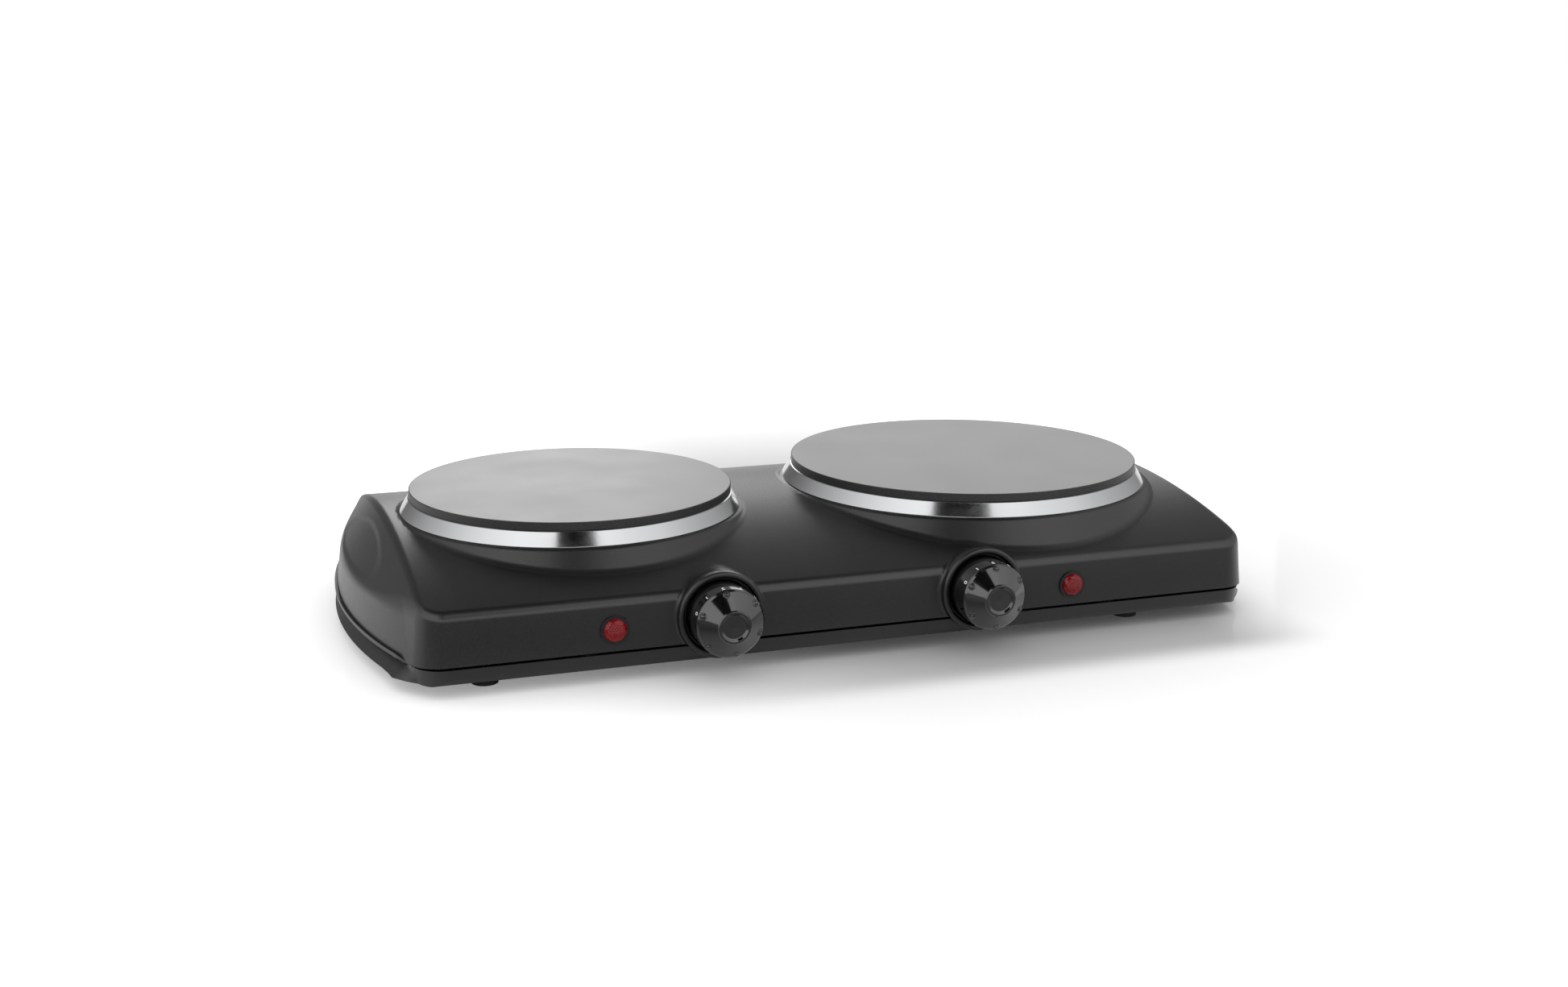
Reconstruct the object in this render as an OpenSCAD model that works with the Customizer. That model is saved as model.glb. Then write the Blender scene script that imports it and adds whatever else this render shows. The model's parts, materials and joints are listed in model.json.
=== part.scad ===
// Double electric hot plate with cast-iron plates and two rotary thermostats.
// Millimetres. +Z is up, -Y is the front, the table is z = 0, and the origin is
// the middle of the footprint, knobs and cord gland included.

/* [Housing] */
// Length of the housing over the crowns of its bowed end walls
body_l = 448; // [440:1:480]
// Depth of the housing from the fascia to the back wall
body_d = 228; // [226:1:250]
// Height of the housing from its lower edge to the crest of its arched top
housing_h = 39; // [38:1:48]
// Length of the arched top between the sloping ends
top_l = 402; // [400:1:406]
// Slope of the two ends below the horizontal, in degrees
end_slope = 46; // [42:1:54]
// Radius of the arched top, seen from the end
arch_r = 440; // [420:10:600]
// Radius of the bowed end walls, seen from above
bow_r = 300; // [280:10:400]
// Rounding between the arched top and the front and back walls
shoulder_r = 8; // [6:0.5:10]
// Rounding of the four corners, seen from above
corner_r = 14; // [10:1:18]
// Thickness of the steel sheet of the housing and the base pan
wall = 1.2; // [1:0.1:1.5]

/* [Base pan] */
// Height of the base pan's front and back walls
pan_h = 7.3; // [6.5:0.1:10]
// Dark gap between the housing's lower edge and the pan's front wall
pan_gap = 1.2; // [0.8:0.1:2]
// How far the pan's end lip stands out past the housing
lip_out = 2.4; // [2.2:0.1:3]
// How far the pan's end lip rises above the housing's lower edge
lip_rise = 2; // [1:0.5:3]
// How far the pan's bottom is drawn in at the ends
pan_draw = 8; // [4:1:12]
// Rounding along the pan's lower edges
pan_r = 3; // [2:0.5:4]
// Width of one ventilation slot in the pan
slot_w = 4; // [3:0.5:6]
// Length of one ventilation slot
slot_l = 46; // [30:1:60]
// Distance between neighbouring slots
slot_pitch = 11; // [9:0.5:14]

/* [Plates] */
// Diameter of the left cast-iron plate
left_plate_d = 157; // [145:1:160]
// Diameter of the right cast-iron plate
right_plate_d = 180; // [170:1:184]
// Distance from the left plate to the end of the arched top
left_margin = 12; // [12:0.5:16]
// Distance from the right plate to the end of the arched top
right_margin = 11.5; // [11:0.5:16]
// Height of the plate's rim that stands above the trim ring
plate_rim_h = 4; // [3:0.5:6]
// Height of the stainless trim ring
ring_h = 6.8; // [6:0.1:9]
// How far the trim ring flares out past the plate
ring_flare = 4.6; // [4:0.1:5.5]
// Height of the flat plate seat above the crest of the housing
seat_rise = 0.4; // [0.2:0.1:1]
// Height of the sloping riser around each seat
riser_h = 15; // [13:0.5:15]
// Slope of the riser's side below the horizontal, in degrees
riser_slope = 53; // [48:1:58]
// Whole thickness of a cast-iron plate
plate_t = 15; // [14:0.5:18]
// Solid iron above the heating element
plate_web = 7; // [6:0.5:8]
// Diameter of the tubular heating element
element_d = 6.5; // [5:0.5:7]
// Diameter of the stud that clamps a plate down
stud_d = 6; // [5:0.5:8]
// Width of the strap under each plate
strap_w = 24; // [18:1:30]

/* [Controls] */
// Distance between the two knob axes
knob_spread = 127.5; // [110:0.5:140]
// Height of the knob axes above the housing's lower edge
knob_rise = 12.8; // [12.5:0.1:14]
// Diameter of the knob's skirt
knob_d = 33; // [30:0.5:35]
// Length of the knob's side band
knob_l = 15.3; // [13:0.1:18]
// Height of the knob's conical front
knob_cone = 6; // [4:0.5:8]
// Diameter of the ring in the knob's centre
knob_eye_d = 15; // [12:0.5:18]
// Number of grip nubs round the knob's front edge
nub_count = 6; // [4:1:12]
// Diameter of the raised cup around each knob
cup_d = 40; // [39:0.5:41]
// How far the cup stands out from the fascia
cup_out = 4; // [3.5:0.1:5]
// Diameter of the thermostat shaft
shaft_d = 6; // [5:0.5:7]
// Distance between the two pilot lamps
lamp_spread = 224; // [216:1:230]
// Height of the pilot lamps above the housing's lower edge
lamp_rise = 9.9; // [9:0.1:11]
// Diameter of a pilot lamp's lens
lamp_d = 11.5; // [10:0.5:13]

/* [Underside and inlet] */
// Height of the rubber feet
foot_h = 6.3; // [5:0.1:9]
// Diameter of the rubber feet
foot_d = 14; // [14:0.5:20]
// Distance of the left feet from the middle
foot_left_x = 172; // [160:1:180]
// Distance of the right feet from the middle
foot_right_x = 147; // [144:1:170]
// Distance of the feet from the front and back walls
foot_inset = 20; // [17:0.5:26]
// Diameter of the cord hole through the gland
cord_bore_d = 7.2; // [6:0.1:8]
// Height of the cord gland above the housing's lower edge
gland_rise = 10.5; // [9.5:0.5:11]

/* [Hidden] */
$fn = 96;

// Clearances
run_gap = 0.05;      // radial gap of a turning shaft in its bush
slip_gap = 0.15;     // radial gap of parts that slide together once
cover_gap = 0.3;     // gap between a hanging edge and the wall behind it
knob_gap = 0.5;      // gap between a knob and the floor of its cup
far = 600;           // longer than the whole object
cut = 1;             // how far a cut runs past the face it starts from

// Levels above the table
pan_z = foot_h;
pan_top_z = pan_z + pan_h;
edge_z = pan_top_z + pan_gap;
crest_z = edge_z + housing_h;
seat_z = crest_z + seat_rise;
ring_top_z = seat_z + ring_h;
plate_top_z = ring_top_z + plate_rim_h;
plate_low_z = plate_top_z - plate_t;
knob_z = edge_z + knob_rise;
lamp_z = edge_z + lamp_rise;
gland_z = edge_z + gland_rise;
pan_floor_z = pan_z + wall;

// Places across the length
left_x = -top_l / 2 + left_margin + left_plate_d / 2;
right_x = top_l / 2 - right_margin - right_plate_d / 2;
mid_x = (left_x + right_x) / 2;
left_knob_x = mid_x - knob_spread / 2;
right_knob_x = mid_x + knob_spread / 2;
left_lamp_x = mid_x - lamp_spread / 2;
right_lamp_x = mid_x + lamp_spread / 2;

// Places through the depth, from the housing's own middle
front_y = -body_d / 2;
back_y = body_d / 2;
cup_front_y = front_y - cup_out;
cup_floor_y = front_y - wall;
knob_back_y = cup_floor_y - knob_gap;
knob_edge_y = knob_back_y - knob_l;
knob_front_y = knob_edge_y - knob_cone;
gland_flange_t = 3;
gland_back_y = back_y + gland_flange_t;
// The origin lies midway between the knobs' fronts and the gland's back
shift_y = -(knob_front_y + gland_back_y) / 2;

// Housing details
bow_x = body_l / 2 - bow_r;              // centre of the bowed end wall
end_r = arch_r / cos(end_slope);         // keeps the arch's curve on the sloping end
riser_out = 1;                           // seat left outside the trim ring
skirt_in = 4;                            // the plate's skirt lies inside its rim
opening_gap = 1;                         // gap between the plate's skirt and the housing
cup_wall = 2.6;
cup_tail = 19;                           // length of the cup's taper into the top
bush_d = 9.8;                            // threaded bush of the thermostat
lamp_hole_d = 10.4;
lamp_flange_d = lamp_d + 1.7;
lamp_flange_t = 0.9;
gland_neck_d = cord_bore_d + 5;
gland_lip = 2.5;                         // outer flange past the hole in the wall
gland_inner_lip = 1.5;
tab_w = 16;                              // tab that carries a base screw
tab_l = 14;
lip_half = body_d / 2 - 12;              // the end lip stops before the corners
lip_zone = 30;                           // the end lip lies within this of the ends
cup_root_in = 6;                         // the cup's taper is this much narrower at its root
cup_tail_r = cup_d / 2 - cup_root_in;

// Screws between the pan and the housing: [x, y, direction of the wall beside it]
screw_in = 8;                            // from the front and back walls
screw_x = 128;
end_screw_x = body_l / 2 - pan_draw - 10;
base_screw_d = 3.5;
base_screw_l = 7;
base_head_d = 6.6;
head_h = 2.4;
screw_boss_d = 11;
base_screw_at = [
    for (x = [-screw_x, screw_x], side = [-1, 1]) [x, side * (back_y - screw_in), side * 90],
    [end_screw_x, 0, 0], [-end_screw_x, 0, 180]
];
foot_screw_d = 4;
foot_head_d = 7.6;
foot_bore_d = 9;
foot_draft = 2;                          // the foot is this much narrower where it stands
foot_web = 2.6;                          // rubber left between the screw's head and the pan
foot_screw_l = foot_web + wall + 3;
foot_at = [
    for (x = [-foot_left_x, foot_right_x],
         y = [front_y + foot_inset, back_y - foot_inset]) [x, y]
];

// Plate, element and clamp details
skirt_t = 5;                             // thickness of the skirt round the plate's recess
hub_r = 12;                              // solid hub in the plate's middle
stud_grip = 9;                           // depth of the stud's hole in the hub
ring_t = 0.6;
ring_foot_h = 0.5;                       // upright edge at the ring's foot
ring_lip = 0.6;                          // the ring's neck stands this far outside the plate
ring_bevel = 0.35;
strap_gap = 0.5;                         // gap between the strap's legs and the opening
coil_gap = 40;                           // open angle between the element's ends, in degrees
pin_d = 3;
pin_l = 8;
element_drop = 3;                        // the element's sheath ends below the plate
shield_t = 0.8;
strap_t = 1.6;
strap_z = plate_low_z - shield_t - strap_t;
nut_h = 5;
nut_across = 1.95;                       // a nut's corners, as a share of its screw's diameter
stud_end = 3;
pin_end_z = plate_low_z - element_drop - pin_l;
cutout_y = 25;
cutout_d = 13;
cutout_h = 5;
cutout_tab_l = 4;
tab_plate_w = 3;                         // small connecting tabs of the cut-outs and lamps
tab_plate_t = 0.8;

// Thermostat, shaft and knob details
thermostat_y = front_y + wall;
thermostat_w = 28;
thermostat_tall = 20;
thermostat_deep = 18;
blade_l = 8;                             // flat blades that the wires push on to
blade_w = 6;
blade_t = 0.8;
blade_side = 8;                          // blades lie this far beside the shaft
blade_up = 5;                            // and this far above and below it
blade_end_y = thermostat_y + thermostat_deep + blade_l;
nut_t = 2;                               // flat nut on the bush
bush_nut_d = bush_d * 1.4;
bush_end_y = cup_floor_y - nut_t - 0.8;  // the bush ends just past its nut
shaft_depth = 12;
shaft_end_y = knob_edge_y + 3;           // the shaft ends inside the knob,
flat_start_y = bush_end_y;               // and its flat starts at the bush's end
shaft_flat = shaft_d * 0.3;              // the shaft's flat lies this far from its axis
knob_wall = 2;
knob_draft = 0.8;                        // the side band is this much narrower at the front
knob_edge = 0.8;                         // bevel round the front edge
eye_bevel = 0.7;                         // flat top of the ring in the knob's centre
eye_dish = 1.4;                          // depth of the dish inside it
knob_hub_r = shaft_d / 2 + 2.5;
hub_start = knob_back_y - bush_end_y + knob_gap;
nub_r = 1.1;
nub_turn = 40;                           // turns the nubs so that one is beside the off mark

// Lamp details
lamp_body_l = 20;
lamp_tab_l = 5;
lamp_tab_x = 2.5;                        // tabs lie this far beside the lamp's axis
lamp_bore_d = 8;
lens_stem = 8;
lens_h = 3.2;
lens_dome_r = 8;

// Terminal block and wire details
block_x = 0;                             // middle of the terminal block
block_y = back_y - 26;
block_w = 38;
block_deep = 16;
block_h = 14;
earth_x = 28;
wire_hole_d = 3.4;
wire_hole_z = block_h / 2 - 1;           // above the block's foot
clamp_hole_d = 4;                        // screw holes in the block's top
clamp_hole_l = 3;
earth_stud_d = 4;
earth_stud_l = 12;
earth_nut_d = 8;
earth_nut_h = 3;
wire_d = 2.2;
wire_bend = 5;
wire_facets = 8;
wire_side = [1, 0.3, 0.2];               // turns the wire's facets; no wire runs this way
low_run = pan_floor_z + 2.5;             // height of the wires along the pan's floor
high_run = low_run + 20;                 // height of the wires to the elements
// How far a wire runs straight on from what it is joined to
blade_lead = 12;
tab_lead = 14;
block_lead = 10;
low_lead = 30;

module place() translate([0, shift_y, 0]) children();
module at_plate(x) translate([x, 0, 0]) children();
// Local +Z points out of the fascia, towards the user
module to_front(x, y, z) translate([x, y, z]) rotate([90, 0, 0]) children();

// ---------- Sheet-metal shapes ----------

// Outline from above: straight front and back, bowed ends, rounded corners
module plan_outline(inset, lip)
    offset(r = corner_r - inset) offset(delta = -corner_r)
        intersection() {
            square([far, body_d], center = true);
            translate([bow_x, 0]) circle(bow_r + lip, $fn = 240);
            translate([-bow_x, 0]) circle(bow_r + lip, $fn = 240);
        }

// Cross-section of the arched top with its rounded shoulders
module arch_section(inset)
    offset(r = shoulder_r - inset) offset(delta = -shoulder_r)
        intersection() {
            translate([-body_d / 2, -far / 2]) square([body_d, far]);
            translate([0, crest_z - arch_r]) circle(arch_r, $fn = 360);
        }

module along_x() rotate([90, 0, 90]) translate([0, 0, -far / 2])
    linear_extrude(far) children();

// One sloping end: the arch carried on down the slope
module end_slope_block(side, inset)
    mirror([side < 0 ? 1 : 0, 0, 0])
        translate([top_l / 2, 0, crest_z]) rotate([0, end_slope, 0])
            translate([0, 0, -end_r]) rotate([0, 90, 0])
                cylinder(r = end_r - inset, h = 4 * far, center = true, $fn = 720);

module housing_form(inset, low_z)
    intersection() {
        translate([0, 0, low_z]) linear_extrude(crest_z) plan_outline(inset, 0);
        along_x() arch_section(inset);
        end_slope_block(1, inset);
        end_slope_block(-1, inset);
    }

// Sloping riser that lifts the arched sheet to the flat plate seat
module riser(plate_d, inset) {
    top_r = plate_d / 2 + ring_flare + riser_out - inset / sin(riser_slope);
    translate([0, 0, seat_z - riser_h])
        cylinder(r1 = top_r + riser_h / tan(riser_slope), r2 = top_r + inset / tan(riser_slope),
                 h = riser_h - inset);
}

// Raised cup around a knob, tapering back into the top
module knob_cup(x) {
    to_front(x, front_y + cup_tail, knob_z)
        cylinder(r1 = cup_tail_r, r2 = cup_d / 2, h = cup_tail);
    to_front(x, front_y + wall / 2, knob_z) cylinder(d = cup_d, h = cup_out + wall / 2);
}

module knob_cup_hollow(x) {
    to_front(x, front_y + cup_tail + wall, knob_z)
        cylinder(r1 = cup_tail_r - wall, r2 = cup_d / 2 - wall, h = cup_tail);
    to_front(x, cup_floor_y, knob_z) cylinder(d = cup_d - 2 * cup_wall, h = cup_out);
    to_front(x, 0, knob_z) cylinder(d = bush_d + 2 * slip_gap, h = body_d);
}

// Space below the housing's edge, behind the fascia's plane
module below_edge()
    translate([-far / 2, front_y - cover_gap, -far / 2]) cube([far, far, far / 2 + edge_z]);

// Tab that carries a base screw; it runs out into the wall beside it
module screw_tab(p)
    translate([p[0], p[1], edge_z]) rotate([0, 0, p[2]])
        translate([-tab_l / 2, -tab_w / 2, 0]) cube([2 * tab_l, tab_w, wall]);

module upper_housing() color("#2a2a2c") place() difference() {
    union() {
        difference() {
            union() {
                housing_form(0, edge_z);
                at_plate(left_x) riser(left_plate_d, 0);
                at_plate(right_x) riser(right_plate_d, 0);
                knob_cup(left_knob_x);
                knob_cup(right_knob_x);
            }
            housing_form(wall, 0);
            at_plate(left_x) riser(left_plate_d, wall);
            at_plate(right_x) riser(right_plate_d, wall);
            knob_cup_hollow(left_knob_x);
            knob_cup_hollow(right_knob_x);
            below_edge();
        }
        intersection() {
            for (p = base_screw_at) screw_tab(p);
            housing_form(wall / 2, 0);
        }
    }
    for (p = base_screw_at)
        translate([p[0], p[1], edge_z - cut]) cylinder(d = base_screw_d, h = wall + 2 * cut);
    at_plate(left_x) plate_opening(left_plate_d);
    at_plate(right_x) plate_opening(right_plate_d);
    for (x = [left_lamp_x, right_lamp_x])
        to_front(x, front_y + shoulder_r, lamp_z) cylinder(d = lamp_hole_d, h = 2 * shoulder_r);
    to_front(0, back_y + wall, gland_z) cylinder(d = gland_neck_d, h = 3 * wall);
}

module plate_opening(plate_d)
    translate([0, 0, seat_z - 2 * wall])
        cylinder(r = plate_d / 2 - skirt_in + opening_gap, h = 4 * wall);

// ---------- Base pan ----------

module pan_form(inset, low_z, high_z)
    intersection() {
        translate([0, 0, low_z]) linear_extrude(high_z - low_z) plan_outline(inset, lip_out);
        along_x() offset(r = pan_r - inset) offset(delta = -pan_r)
            translate([-body_d / 2, pan_z]) square([body_d, far / 2]);
        for (side = [-1, 1]) pan_end(side, inset);
    }

// The pan's ends flare up and out from its drawn-in bottom
module pan_end(side, inset)
    translate([side * bow_x, 0, pan_z])
        cylinder(r1 = bow_r - pan_draw - inset, r2 = bow_r - inset + 2 * pan_draw + 3 * lip_out,
                 h = 3 * pan_h, $fn = 360);

module slot(w, l) {
    translate([-w / 2, -l / 2, -wall]) cube([w, l, 3 * wall]);
    for (side = [-1, 1]) translate([0, side * l / 2, -wall]) cylinder(d = w, h = 3 * wall);
}

module base_pan() color("#232325") place() difference() {
    union() {
        difference() {
            union() {
                pan_form(0, pan_z, pan_top_z);
                intersection() {
                    pan_form(0, pan_z, edge_z + lip_rise);
                    for (side = [-1, 1])
                        translate([side * body_l / 2 - lip_zone, -lip_half, 0])
                            cube([2 * lip_zone, 2 * lip_half, crest_z]);
                }
            }
            pan_form(wall, pan_floor_z, crest_z);
        }
        for (p = base_screw_at)
            translate([p[0], p[1], pan_z]) cylinder(d = screw_boss_d, h = edge_z - pan_z);
    }
    for (p = base_screw_at) {
        translate([p[0], p[1], pan_z - cut])
            cylinder(d = screw_boss_d - 2 * wall, h = edge_z - pan_z + cut - 2 * wall);
        translate([p[0], p[1], pan_z]) cylinder(d = base_screw_d + 2 * slip_gap, h = far);
    }
    for (p = foot_at)
        translate([p[0], p[1], pan_z - cut])
            cylinder(d = foot_screw_d + 2 * slip_gap, h = 4 * wall);
    for (x = [left_x, right_x], i = [-3 : 3])
        translate([x + i * slot_pitch, 0, pan_z]) slot(slot_w, slot_l);
}

// ---------- Feet and screws ----------

module rubber_feet() color("#151515") place() for (p = foot_at)
    translate([p[0], p[1], 0]) difference() {
        cylinder(d1 = foot_d - foot_draft, d2 = foot_d, h = foot_h);
        translate([0, 0, -cut]) cylinder(d = foot_bore_d, h = foot_h - foot_web + cut);
        cylinder(d = foot_screw_d + 2 * slip_gap, h = 2 * foot_h);
    }

// Pan-head screw with its head at the bottom and its seat at z = 0
module screw_up(d, l, head_d) {
    cylinder(d = d, h = l);
    translate([0, 0, -head_h]) difference() {
        cylinder(d1 = head_d - head_h, d2 = head_d, h = head_h);
        for (turn = [0, 90]) rotate([0, 0, turn])
            translate([-head_d / 3, -head_h / 5, -head_h / 2])
                cube([head_d * 2 / 3, head_h * 2 / 5, head_h]);
    }
}

module foot_screws() color("#8f9295") place() for (p = foot_at)
    translate([p[0], p[1], foot_h - foot_web]) screw_up(foot_screw_d, foot_screw_l, foot_head_d);

module base_screws() color("#8f9295") place() for (p = base_screw_at)
    translate([p[0], p[1], edge_z - 2 * wall])
        screw_up(base_screw_d - 2 * slip_gap, base_screw_l, base_head_d);

// ---------- Plates ----------

module hotplate(plate_d) color("#8d8d8c") difference() {
    union() {
        translate([0, 0, ring_top_z]) cylinder(d = plate_d, h = plate_rim_h);
        translate([0, 0, plate_low_z])
            cylinder(r = plate_d / 2 - skirt_in, h = ring_top_z - plate_low_z);
    }
    translate([0, 0, plate_low_z - cut]) difference() {
        cylinder(r = plate_d / 2 - skirt_in - skirt_t, h = plate_t - plate_web + cut);
        cylinder(r = hub_r, h = plate_t);
    }
    translate([0, 0, plate_low_z - cut]) cylinder(d = stud_d + 2 * slip_gap, h = stud_grip + cut);
}

// Stainless ring between the plate's rim and the housing
module trim_ring(plate_d) color("#c9cbcc") {
    r = plate_d / 2;
    translate([0, 0, seat_z]) rotate_extrude($fn = 180) polygon([
        [r + ring_flare, 0], [r + ring_flare, ring_foot_h], [r + ring_lip, ring_h - ring_bevel],
        [r + ring_lip - ring_bevel, ring_h],
        [r - skirt_in + slip_gap, ring_h], [r - skirt_in + slip_gap, ring_h - ring_t],
        [r - ring_t / 2, ring_h - ring_t], [r + ring_flare - 2 * ring_t, 0]
    ]);
}

// The coil runs midway between the plate's hub and its skirt
function coil_radius(plate_d) = (hub_r + plate_d / 2 - skirt_in - skirt_t) / 2;

// Sheathed heating coil under the plate, with two cold ends pointing down
module heating_element(plate_d) color("#5a5a58") {
    rod_r = element_d / 2;
    coil_r = coil_radius(plate_d);
    rod_z = plate_top_z - plate_web - rod_r - cover_gap;
    rotate([0, 0, 270 + coil_gap / 2]) translate([0, 0, rod_z])
        rotate_extrude(angle = 360 - coil_gap, $fn = 120)
            translate([coil_r, 0]) circle(rod_r, $fn = 24);
    for (side = [-1, 1]) rotate([0, 0, 270 + side * coil_gap / 2]) translate([coil_r, 0, 0]) {
        translate([0, 0, rod_z]) sphere(rod_r, $fn = 24);
        translate([0, 0, plate_low_z - element_drop])
            cylinder(r = rod_r, h = rod_z - plate_low_z + element_drop);
        translate([0, 0, pin_end_z]) cylinder(d = pin_d, h = pin_l + cut);
    }
}

// Reflecting steel disc that closes the plate's underside
module heat_shield(plate_d) color("#a9a9a6") translate([0, 0, plate_low_z - shield_t])
    difference() {
        cylinder(r = plate_d / 2 - skirt_in - opening_gap, h = shield_t);
        translate([0, 0, -cut]) cylinder(d = stud_d + 2 * slip_gap, h = 3 * shield_t);
        for (side = [-1, 1]) rotate([0, 0, 270 + side * coil_gap / 2])
            translate([coil_radius(plate_d), 0, -cut])
                cylinder(r = element_d / 2 + opening_gap, h = 3 * shield_t);
    }

// Strap across the opening; its ends press up on the housing's seat
module clamp_strap(plate_d) color("#77797b") {
    end_r = plate_d / 2 + ring_flare + riser_out - 2 * wall;
    leg_r = plate_d / 2 - skirt_in + opening_gap + strap_gap;
    foot_r = leg_r + strap_t;
    top = seat_z - wall;
    difference() {
        rotate([90, 0, 0]) translate([0, 0, -strap_w / 2]) linear_extrude(strap_w) polygon([
            [-end_r, top], [-leg_r, top], [-leg_r, strap_z + strap_t], [leg_r, strap_z + strap_t],
            [leg_r, top], [end_r, top], [end_r, top - strap_t], [foot_r, top - strap_t],
            [foot_r, strap_z], [-foot_r, strap_z], [-foot_r, top - strap_t], [-end_r, top - strap_t]
        ]);
        cylinder(d = stud_d + 2 * slip_gap, h = far);
    }
}

module clamp_stud() color("#9a9c9e")
    translate([0, 0, strap_z - nut_h - stud_end])
        cylinder(d = stud_d, h = plate_low_z + stud_grip - cut - strap_z + nut_h + stud_end);

module clamp_nut() color("#9a9c9e") translate([0, 0, strap_z - nut_h]) difference() {
    cylinder(d = stud_d * nut_across, h = nut_h, $fn = 6);
    translate([0, 0, -cut]) cylinder(d = stud_d + 2 * slip_gap, h = nut_h + 2 * cut);
}

// Thermal cut-out that rests under the heat shield
module thermal_cutout() color("#3a3835")
    translate([0, cutout_y, plate_low_z - shield_t - cutout_h]) {
        cylinder(d = cutout_d, h = cutout_h);
        for (side = [-1, 1])
            translate([side * cutout_d / 4 - tab_plate_w / 2, -tab_plate_t / 2, -cutout_tab_l])
                cube([tab_plate_w, tab_plate_t, cutout_tab_l]);
    }

// ---------- Controls ----------

module thermostat(x) color("#d8d2c4") place() {
    difference() {
        union() {
            translate([x - thermostat_w / 2, thermostat_y, knob_z - thermostat_tall / 2])
                cube([thermostat_w, thermostat_deep, thermostat_tall]);
            to_front(x, thermostat_y, knob_z) cylinder(d = bush_d, h = thermostat_y - bush_end_y);
        }
        to_front(x, thermostat_y + shaft_depth + cover_gap, knob_z)
            cylinder(d = shaft_d + 2 * run_gap, h = shaft_depth + thermostat_deep);
    }
    for (side = [-1, 1], up = [-1, 1])
        translate([x + side * blade_side - blade_w / 2, thermostat_y + thermostat_deep,
                   knob_z + up * blade_up - blade_t / 2])
            cube([blade_w, blade_l, blade_t]);
}

module thermostat_nut(x) color("#b0a470") place() to_front(x, cup_floor_y, knob_z) difference() {
    cylinder(d = bush_nut_d, h = nut_t, $fn = 6);
    translate([0, 0, -cut]) cylinder(d = bush_d + 2 * slip_gap, h = nut_t + 2 * cut);
}

// Turning shaft with a flat where the knob grips it
module thermostat_shaft(x) color("#b9bbbd") place()
    to_front(x, thermostat_y + shaft_depth, knob_z) difference() {
        cylinder(d = shaft_d, h = thermostat_y + shaft_depth - shaft_end_y);
        translate([-shaft_d, shaft_flat, thermostat_y + shaft_depth - flat_start_y])
            cube([2 * shaft_d, shaft_d, far]);
    }

module knob(x) color("#101012") place() to_front(x, knob_back_y, knob_z) {
    edge_r = knob_d / 2 - knob_draft;
    eye_r = knob_eye_d / 2;
    front_h = knob_l + knob_cone;
    difference() {
        rotate_extrude() polygon([
            [0, 0], [knob_d / 2, 0], [knob_d / 2, knob_edge], [edge_r, knob_l - knob_edge],
            [edge_r - knob_edge / 3, knob_l - knob_edge / 4], [edge_r - knob_edge, knob_l],
            [eye_r, front_h], [eye_r - eye_bevel, front_h],
            [eye_r - 2 * eye_bevel, front_h - eye_dish / 2], [0, front_h - eye_dish]
        ]);
        translate([0, 0, -cut]) difference() {
            cylinder(r = edge_r - knob_wall, h = knob_l - knob_wall + cut);
            translate([0, 0, hub_start + cut]) cylinder(r = knob_hub_r, h = knob_l);
        }
        intersection() {
            cylinder(d = shaft_d + 2 * run_gap, h = knob_back_y - shaft_end_y + cover_gap);
            translate([-shaft_d, shaft_flat + run_gap - 2 * shaft_d, 0])
                cube([2 * shaft_d, 2 * shaft_d, far]);
        }
    }
    for (i = [0 : nub_count - 1]) rotate([0, 0, nub_turn + i * 360 / nub_count])
        translate([edge_r - knob_edge, 0, knob_l]) sphere(nub_r, $fn = 20);
}

module lamp_body(x) color("#1b1b1d") place() to_front(x, front_y, lamp_z) difference() {
    union() {
        cylinder(d = lamp_flange_d, h = lamp_flange_t);
        translate([0, 0, -lamp_body_l]) cylinder(d = lamp_hole_d - 2 * slip_gap, h = lamp_body_l);
        for (side = [-1, 1])
            translate([side * lamp_tab_x - tab_plate_t / 2, -tab_plate_w / 2,
                       -lamp_body_l - lamp_tab_l])
                cube([tab_plate_t, tab_plate_w, lamp_tab_l + cut]);
    }
    translate([0, 0, -lens_stem]) cylinder(d = lamp_bore_d, h = far);
}

module lamp_lens(x) color("#b01018") place() to_front(x, front_y, lamp_z) {
    translate([0, 0, -lens_stem + slip_gap])
        cylinder(d = lamp_bore_d - 2 * slip_gap, h = lens_stem + lamp_flange_t);
    translate([0, 0, lamp_flange_t]) intersection() {
        cylinder(d = lamp_d, h = lens_h);
        translate([0, 0, lens_h - lens_dome_r]) sphere(lens_dome_r);
    }
}

// ---------- Mains inlet and wiring ----------

// Two-flanged gland in the back wall; the cord passes through its bore
module cord_gland() color("#19191a") place() difference() {
    union() {
        to_front(0, gland_back_y, gland_z)
            cylinder(r = gland_neck_d / 2 + gland_lip, h = gland_flange_t);
        to_front(0, back_y + cut, gland_z)
            cylinder(d = gland_neck_d - 2 * slip_gap, h = wall + 2 * cut);
        to_front(0, back_y - wall, gland_z)
            cylinder(r = gland_neck_d / 2 + gland_inner_lip, h = gland_flange_t);
    }
    to_front(0, gland_back_y + cut, gland_z)
        cylinder(d = cord_bore_d, h = 4 * gland_flange_t);
}

module terminal_block() color("#cfc9bb") place()
    translate([block_x, block_y, pan_floor_z]) difference() {
        translate([-block_w / 2, -block_deep / 2, 0]) cube([block_w, block_deep, block_h]);
        for (i = [-1.5 : 1.5]) {
            translate([i * block_w / 4, 0, block_h - clamp_hole_l])
                cylinder(d = clamp_hole_d, h = clamp_hole_l + cut);
            translate([i * block_w / 4, 0, wire_hole_z]) rotate([90, 0, 0])
                cylinder(d = wire_hole_d, h = 2 * block_deep, center = true);
        }
    }

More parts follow.
